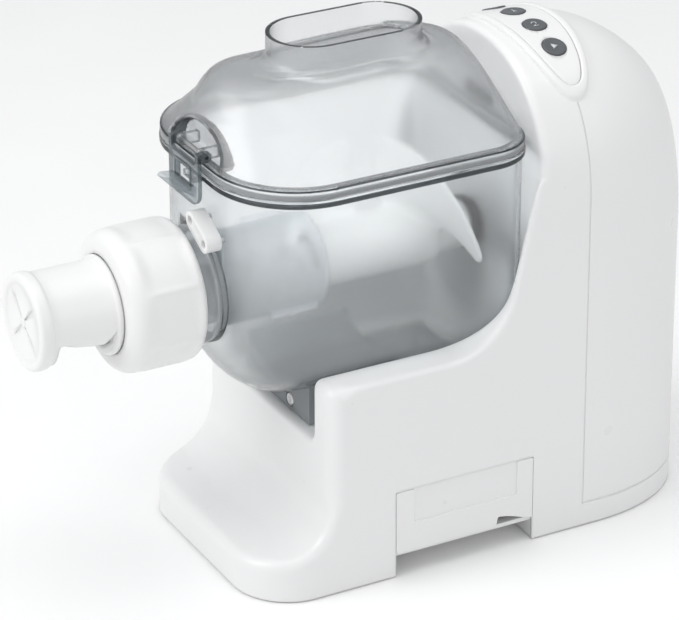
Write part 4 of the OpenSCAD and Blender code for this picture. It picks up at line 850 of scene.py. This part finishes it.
def noise(nt, scale, detail=3.0):
    """A noise in the object's own space, in metres."""
    c = add(nt, "TexCoord")
    n = add(nt, "TexNoise")
    n.inputs["Scale"].default_value = scale
    n.inputs["Detail"].default_value = detail
    nt.links.new(c.outputs["Object"], n.inputs["Vector"])
    return n.outputs["Fac"]


def mapped(nt, value, lo, hi, a=0.15, b=0.85):
    n = add(nt, "MapRange")
    n.inputs["From Min"].default_value = a
    n.inputs["From Max"].default_value = b
    n.inputs["To Min"].default_value = lo
    n.inputs["To Max"].default_value = hi
    nt.links.new(value, n.inputs["Value"])
    return n.outputs["Result"]


def tinted(nt, value, dark, light):
    n = add(nt, "Mix", data_type="RGBA")
    nt.links.new(value, n.inputs[0])
    n.inputs[6].default_value = (*dark, 1)
    n.inputs[7].default_value = (*light, 1)
    return n.outputs[2]


def bumped(nt, b, scale, height):
    """Bump from a noise, with its height in mm."""
    n = add(nt, "Bump")
    n.inputs["Strength"].default_value = 1.0
    n.inputs["Distance"].default_value = height * MM
    nt.links.new(noise(nt, scale, 2.0), n.inputs["Height"])
    nt.links.new(n.outputs["Normal"], b.inputs["Normal"])


def plastic(name, dark, light, rough=(0.24, 0.32), bump=(25, 0.01), metal=0.0):
    m, nt, b = nodes_of(name)
    nt.links.new(tinted(nt, mapped(nt, noise(nt, 11, 0.5), 0, 1), dark, light), b.inputs["Base Color"])
    nt.links.new(mapped(nt, noise(nt, 60, 1.0), *rough), b.inputs["Roughness"])
    b.inputs["Metallic"].default_value = metal
    bumped(nt, b, *bump)
    return m


def slant(nt, power):
    """0 where a surface is seen square on, up to 1 at its edge."""
    p = add(nt, "Math", operation="POWER")
    nt.links.new(add(nt, "LayerWeight", Blend=0.5).outputs["Facing"], p.inputs[0])
    p.inputs[1].default_value = power
    return p.outputs[0]


def mixed(nt, factor, first, second):
    mix = add(nt, "MixShader")
    for k, value in enumerate((factor, first, second)):
        nt.links.new(value, mix.inputs[k])
    nt.links.new(mix.outputs[0], nt.nodes["Material Output"].inputs["Surface"])


def clear(name, tint, edge, milk, dark, haze, rim=0.5, power=3.0, rough=(0.05, 0.1)):
    """Clear plastic: lets light through, a little milky, and darker where it is seen at a slant: the edge and
    dark colours paint a dark reflection there.
    """
    m, nt, b = nodes_of(name)
    p = slant(nt, power)
    see = add(nt, "BsdfTransparent")
    nt.links.new(tinted(nt, p, tint, edge), see.inputs["Color"])
    fine = tinted(nt, mapped(nt, noise(nt, 30), 0, 1), milk, tuple(0.97 * c for c in milk))
    body = add(nt, "Mix", data_type="RGBA")
    nt.links.new(p, body.inputs[0])
    nt.links.new(fine, body.inputs[6])
    body.inputs[7].default_value = (*dark, 1)
    nt.links.new(body.outputs[2], b.inputs["Base Color"])
    nt.links.new(mapped(nt, noise(nt, 300), *rough), b.inputs["Roughness"])
    bumped(nt, b, 60, 0.03)
    mixed(nt, mapped(nt, p, haze, rim, 0, 1), see.outputs[0], b.outputs[0])
    return m


def glass(name, tint, edge, through, rough, ior, power):
    """Moulded see-through plastic: a little milky, soft behind, and darker where it is seen at a slant: the
    edge colour paints a dark reflection there.
    """
    m, nt, b = nodes_of(name)
    nt.links.new(tinted(nt, slant(nt, power), tint, edge), b.inputs["Base Color"])
    b.inputs["Roughness"].default_value = rough
    b.inputs["Transmission Weight"].default_value = through
    b.inputs["IOR"].default_value = ior
    see = add(nt, "BsdfTransparent")
    see.inputs["Color"].default_value = (*tint, 1)
    mixed(nt, add(nt, "LightPath").outputs["Is Shadow Ray"], b.outputs[0], see.outputs[0])
    return m


WHITE = plastic("white_plastic", (0.84, 0.84, 0.84), (0.848, 0.848, 0.848), (0.27, 0.3))
WHITE_PARTS = plastic("white_parts", (0.84, 0.84, 0.838), (0.85, 0.85, 0.848), (0.31, 0.34))
PADDLE = plastic("paddle_plastic", (0.84, 0.85, 0.85), (0.86, 0.87, 0.87), (0.28, 0.32))
# The edge colours of these clear materials, and the dark colours given to clear(), are painted dark
# reflections where a surface is seen at a slant
CLEAR = glass("clear_plastic", (0.955, 0.967, 0.972), (0.18, 0.21, 0.23), 0.94, 0.14, 1.3, 2.8)
LID = glass("clear_lid", (0.965, 0.973, 0.978), (0.085, 0.105, 0.12), 0.93, 0.2, 1.3, 1.85)
LATCH = clear("clear_latch", (0.88, 0.9, 0.91), (0.40, 0.44, 0.46), (0.62, 0.65, 0.67), (0.12, 0.14, 0.15),
              0.14, 0.6)
# Painted shade: the dark lines along thick clear rims
RIM_SHADE = clear("painted_rim_shade", (0.22, 0.24, 0.25), (0.1, 0.11, 0.12), (0.04, 0.045, 0.05), (0.03, 0.035, 0.04),
             0.5, 0.8)
# Painted shade for the side faces of the clear latch
LATCH_SHADE = clear("latch_painted_shade", (0.52, 0.55, 0.57), (0.25, 0.27, 0.29), (0.22, 0.24, 0.25), (0.06, 0.07, 0.075),
             0.3, 0.7)
FROST = clear("frosted_plastic", (0.95, 0.96, 0.97), (0.78, 0.81, 0.83), (0.88, 0.9, 0.92), (0.6, 0.64, 0.66),
              0.38, 0.8, 2.2, (0.3, 0.4))
SMOKE = clear("tinted_foot", (0.84, 0.86, 0.87), (0.45, 0.47, 0.48), (0.5, 0.52, 0.53), (0.2, 0.22, 0.23),
              0.35, 0.65, 2.2, (0.12, 0.2))
BUTTON = plastic("button_grey", (0.085, 0.093, 0.1), (0.105, 0.115, 0.122), (0.38, 0.46), (1600, 0.006))
MARK = plastic("mark_light", (0.58, 0.6, 0.61), (0.66, 0.68, 0.69), (0.45, 0.55))
RUBBER = plastic("rubber", (0.025, 0.025, 0.027), (0.045, 0.045, 0.047), (0.7, 0.85), (1800, 0.02))
DARK = plastic("dark_plastic", (0.03, 0.03, 0.032), (0.05, 0.05, 0.052), (0.4, 0.5))
SCREW = plastic("screw_steel", (0.6, 0.6, 0.6), (0.7, 0.7, 0.7), (0.28, 0.4), (1200, 0.006), 1.0)
STEEL = plastic("machined_steel", (0.5, 0.5, 0.51), (0.62, 0.62, 0.63), (0.25, 0.4), (800, 0.008), 1.0)
ALLOY = plastic("cast_alloy", (0.42, 0.42, 0.43), (0.52, 0.52, 0.53), (0.5, 0.65), (500, 0.03), 0.9)
BRASS = plastic("brass", (0.62, 0.45, 0.18), (0.7, 0.52, 0.22), (0.25, 0.4), metal=1.0)
COPPER = plastic("copper_wire", (0.55, 0.25, 0.12), (0.68, 0.33, 0.17), (0.3, 0.45), (2500, 0.05), 1.0)
BOARD = plastic("circuit_board", (0.02, 0.12, 0.05), (0.03, 0.17, 0.07), (0.4, 0.5))
GEAR = plastic("gear_plastic", (0.62, 0.6, 0.55), (0.7, 0.68, 0.62), (0.4, 0.5))
GASKET = plastic("grey_rubber", (0.30, 0.31, 0.32), (0.36, 0.37, 0.38), (0.6, 0.75), (1500, 0.01))


def dress(ob, mat, name, body, nodes=()):
    """Gives a piece its material, its body and the nodes that it stands for."""
    ob.data.materials.clear()
    ob.data.materials.append(mat)
    ob.name = name
    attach(ob, body)
    if nodes:
        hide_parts(*nodes)
    return ob


# A thin wall in the housing at the drawer's rear end
foot_wall = extrude("foot_wall", [(40, 1.2), (78.9, 1.2), (78.9, 12.4), (40, 12.4)], D1 + 0.1, D1 + 2.6)
foot_wall = bevelled(foot_wall, 0.4, 2)
dress(join("front_shell", [front, foot_wall]), WHITE, "front_shell", "housing", ["front_housing"])
dress(rear, WHITE, "rear_shell", "housing", ["rear_cover"])
dress(bezel, WHITE, "strip_frame", "housing", ["control_bezel"])
dress(plate_top, WHITE, "strip_plate", "housing", ["control_plate"])
for i, (b, m) in enumerate(zip(buttons, marks), 1):
    dress(b, BUTTON, "button_cap_%d" % i, "button_%d" % i, ["button_%d" % i])
    dress(m, MARK, "button_mark_%d" % i, "button_%d" % i)
dress(join("drawer_box", [drawer, tray]), WHITE, "drawer_box", "drawer", ["drawer"])
bowl_shell = dress(join("bowl_shell", bowl_parts), CLEAR, "bowl_shell", "bowl", ["mixing_bowl"])
lid_shell = dress(join("lid_shell", lid_parts), LID, "lid_shell", "lid", ["lid"])


def edged(ob, test, mat=RIM_SHADE):
    """Gives the faces that pass a test a dark line of painted shade, as a thick clear edge shows."""
    if len(ob.data.materials) == 1:
        ob.data.materials.append(mat)
    for p in ob.data.polygons:
        if test(p.center / MM, p.normal):
            p.material_index = 1


def lined(ob, z0, z1, ring):
    """The same for an outer edge, between two heights and outside a ring."""
    edged(ob, lambda c, n: z0 < c.z < z1
          and polygon_distance(ring[:, :2], np.array([c.x]), np.array([c.y]))[0] > 0)


# Painted shade as dark lines along the rims of the bowl and the lid, the chute's top and round the lid's
# recess
lined(bowl_shell, 241.9, 245.1, rim_ring(1.0))
lined(lid_shell, 251.1, 252.12, rim_ring(1.1))
lined(lid_shell, 310.4, 310.6, rim_ring(60))
edged(lid_shell, lambda c, n: c.y < -86 and c.z > BAND1 + 1.5
      and abs(math.hypot(c.x / RECESS_HALF, (c.z - BAND1 + 1) / RECESS_H) - 1) * RECESS_H < 0.9)
# The latch's side faces get painted shade
edged(dress(join("latch_plate", latch_parts), LATCH, "latch_plate", "latch", ["lid_latch"]),
      lambda c, n: abs(n.y) < 0.45 and c.y > -103.5, LATCH_SHADE)
dress(nut, WHITE_PARTS, "nozzle_nut", "nut", ["retaining_nut"])
dress(join("cutter_cap", hood_parts), WHITE_PARTS, "cutter_cap", "hood", ["cutter_hood"])
dress(join("barrel_tube", [barrel] + tabs), FROST, "barrel_tube", "bowl", ["extrusion_barrel"])
dress(join("paddle_blades", [paddle, journal]), PADDLE, "paddle_blades", "agitator",
      ["mixing_paddle"])
dress(clip, WHITE_PARTS, "neck_clip", "bowl", ["barrel_clip"])
dress(join("bowl_support", foot_parts), SMOKE, "bowl_support", "bowl", ["bowl_foot"])
dress(foot_screw, SCREW, "support_screw", "bowl", ["foot_screw"])

# The nodes that stay as their solids
LOOKS = {
    "rubber_feet": RUBBER, "base_screws": SCREW, "cover_screws": SCREW, "bottom_plate": WHITE,
    "drawer_rails": WHITE, "gear_frame": ALLOY, "gear_plate": ALLOY, "shaft_bearings": STEEL,
    "shaft_seal": RUBBER, "idler_pin": STEEL, "motor_can": STEEL, "motor_shaft": STEEL,
    "motor_pinion": BRASS, "motor_armature": COPPER, "cooling_fan": DARK, "idler_gear": GEAR,
    "output_gear": GEAR, "drive_shaft": STEEL, "power_board": BOARD, "button_board": BOARD,
    "power_inlet": DARK, "inlet_pins": BRASS, "interlock_switch": DARK, "interlock_plunger": DARK,
    "bowl_bush": DARK, "barrel_seal": GASKET, "clip_screws": SCREW, "pasta_die": WHITE_PARTS,
    "auger": PADDLE, "lid_gasket": GASKET, "latch_pin": STEEL}
for name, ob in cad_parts.items():
    if name in LOOKS:
        ob.data.materials.clear()
        ob.data.materials.append(LOOKS[name])

# ---- Floor, light and background ---------------------------------------------------------------
FAR, GLOW = 6000, 0.06
floor = make("floor", [(-FAR, -FAR, 0), (FAR, -FAR, 0), (FAR, FAR, 0), (-FAR, FAR, 0)], [(0, 1, 2, 3)], False)
floor_mat = plastic("floor_paper", (0.9, 0.9, 0.9), (0.92, 0.92, 0.92), (0.6, 0.7), (300, 0.02))
floor.data.materials.append(floor_mat)
nt = floor_mat.node_tree
paper = nt.nodes["Principled BSDF"]
paper.inputs["Emission Color"].default_value = (1, 1, 1, 1)
# The paper looks a little paler than it is, without more light on the object
path = add(nt, "LightPath")
seen = add(nt, "Math", operation="MAXIMUM")
nt.links.new(path.outputs["Is Camera Ray"], seen.inputs[0])
nt.links.new(path.outputs["Is Transmission Ray"], seen.inputs[1])
glow = add(nt, "Math", operation="MULTIPLY")
nt.links.new(seen.outputs[0], glow.inputs[0])
glow.inputs[1].default_value = GLOW
nt.links.new(glow.outputs[0], paper.inputs["Emission Strength"])

world = bpy.data.worlds.new("world")
scene.world = world
world.use_nodes = True
nt = world.node_tree
back = nt.nodes["Background"]
back.inputs["Color"].default_value = (0.93, 0.94, 0.95, 1)
LIT, SHOWN = 0.62, 0.98  # The background's strength as a light, and as the camera sees it
level = add(nt, "Math", operation="MULTIPLY_ADD")
nt.links.new(add(nt, "LightPath").outputs["Is Camera Ray"], level.inputs[0])
level.inputs[1].default_value = SHOWN - LIT
level.inputs[2].default_value = LIT
nt.links.new(level.outputs[0], back.inputs["Strength"])


def lamp(name, place, aim, size, power):
    data = bpy.data.lights.new(name, "AREA")
    data.shape = "RECTANGLE"
    data.size, data.size_y = size
    data.energy = power
    ob = bpy.data.objects.new(name, data)
    scene.collection.objects.link(ob)
    ob.location = place
    ob.rotation_euler = (Vector(aim) - Vector(place)).to_track_quat("-Z", "Y").to_euler()


lamp("key", (-0.2, -1.6, 1.3), (0, 0, 0.15), (1.2, 1.2), 15.8)
lamp("top", (0.2, 0.1, 1.9), (0, 0, 0.2), (1.5, 1.5), 11)
lamp("side", (1.7, 0.5, 0.9), (0, 0.05, 0.15), (1.0, 1.0), 3.2)
scene.view_settings.view_transform = "Standard"
scene.view_settings.look = "None"
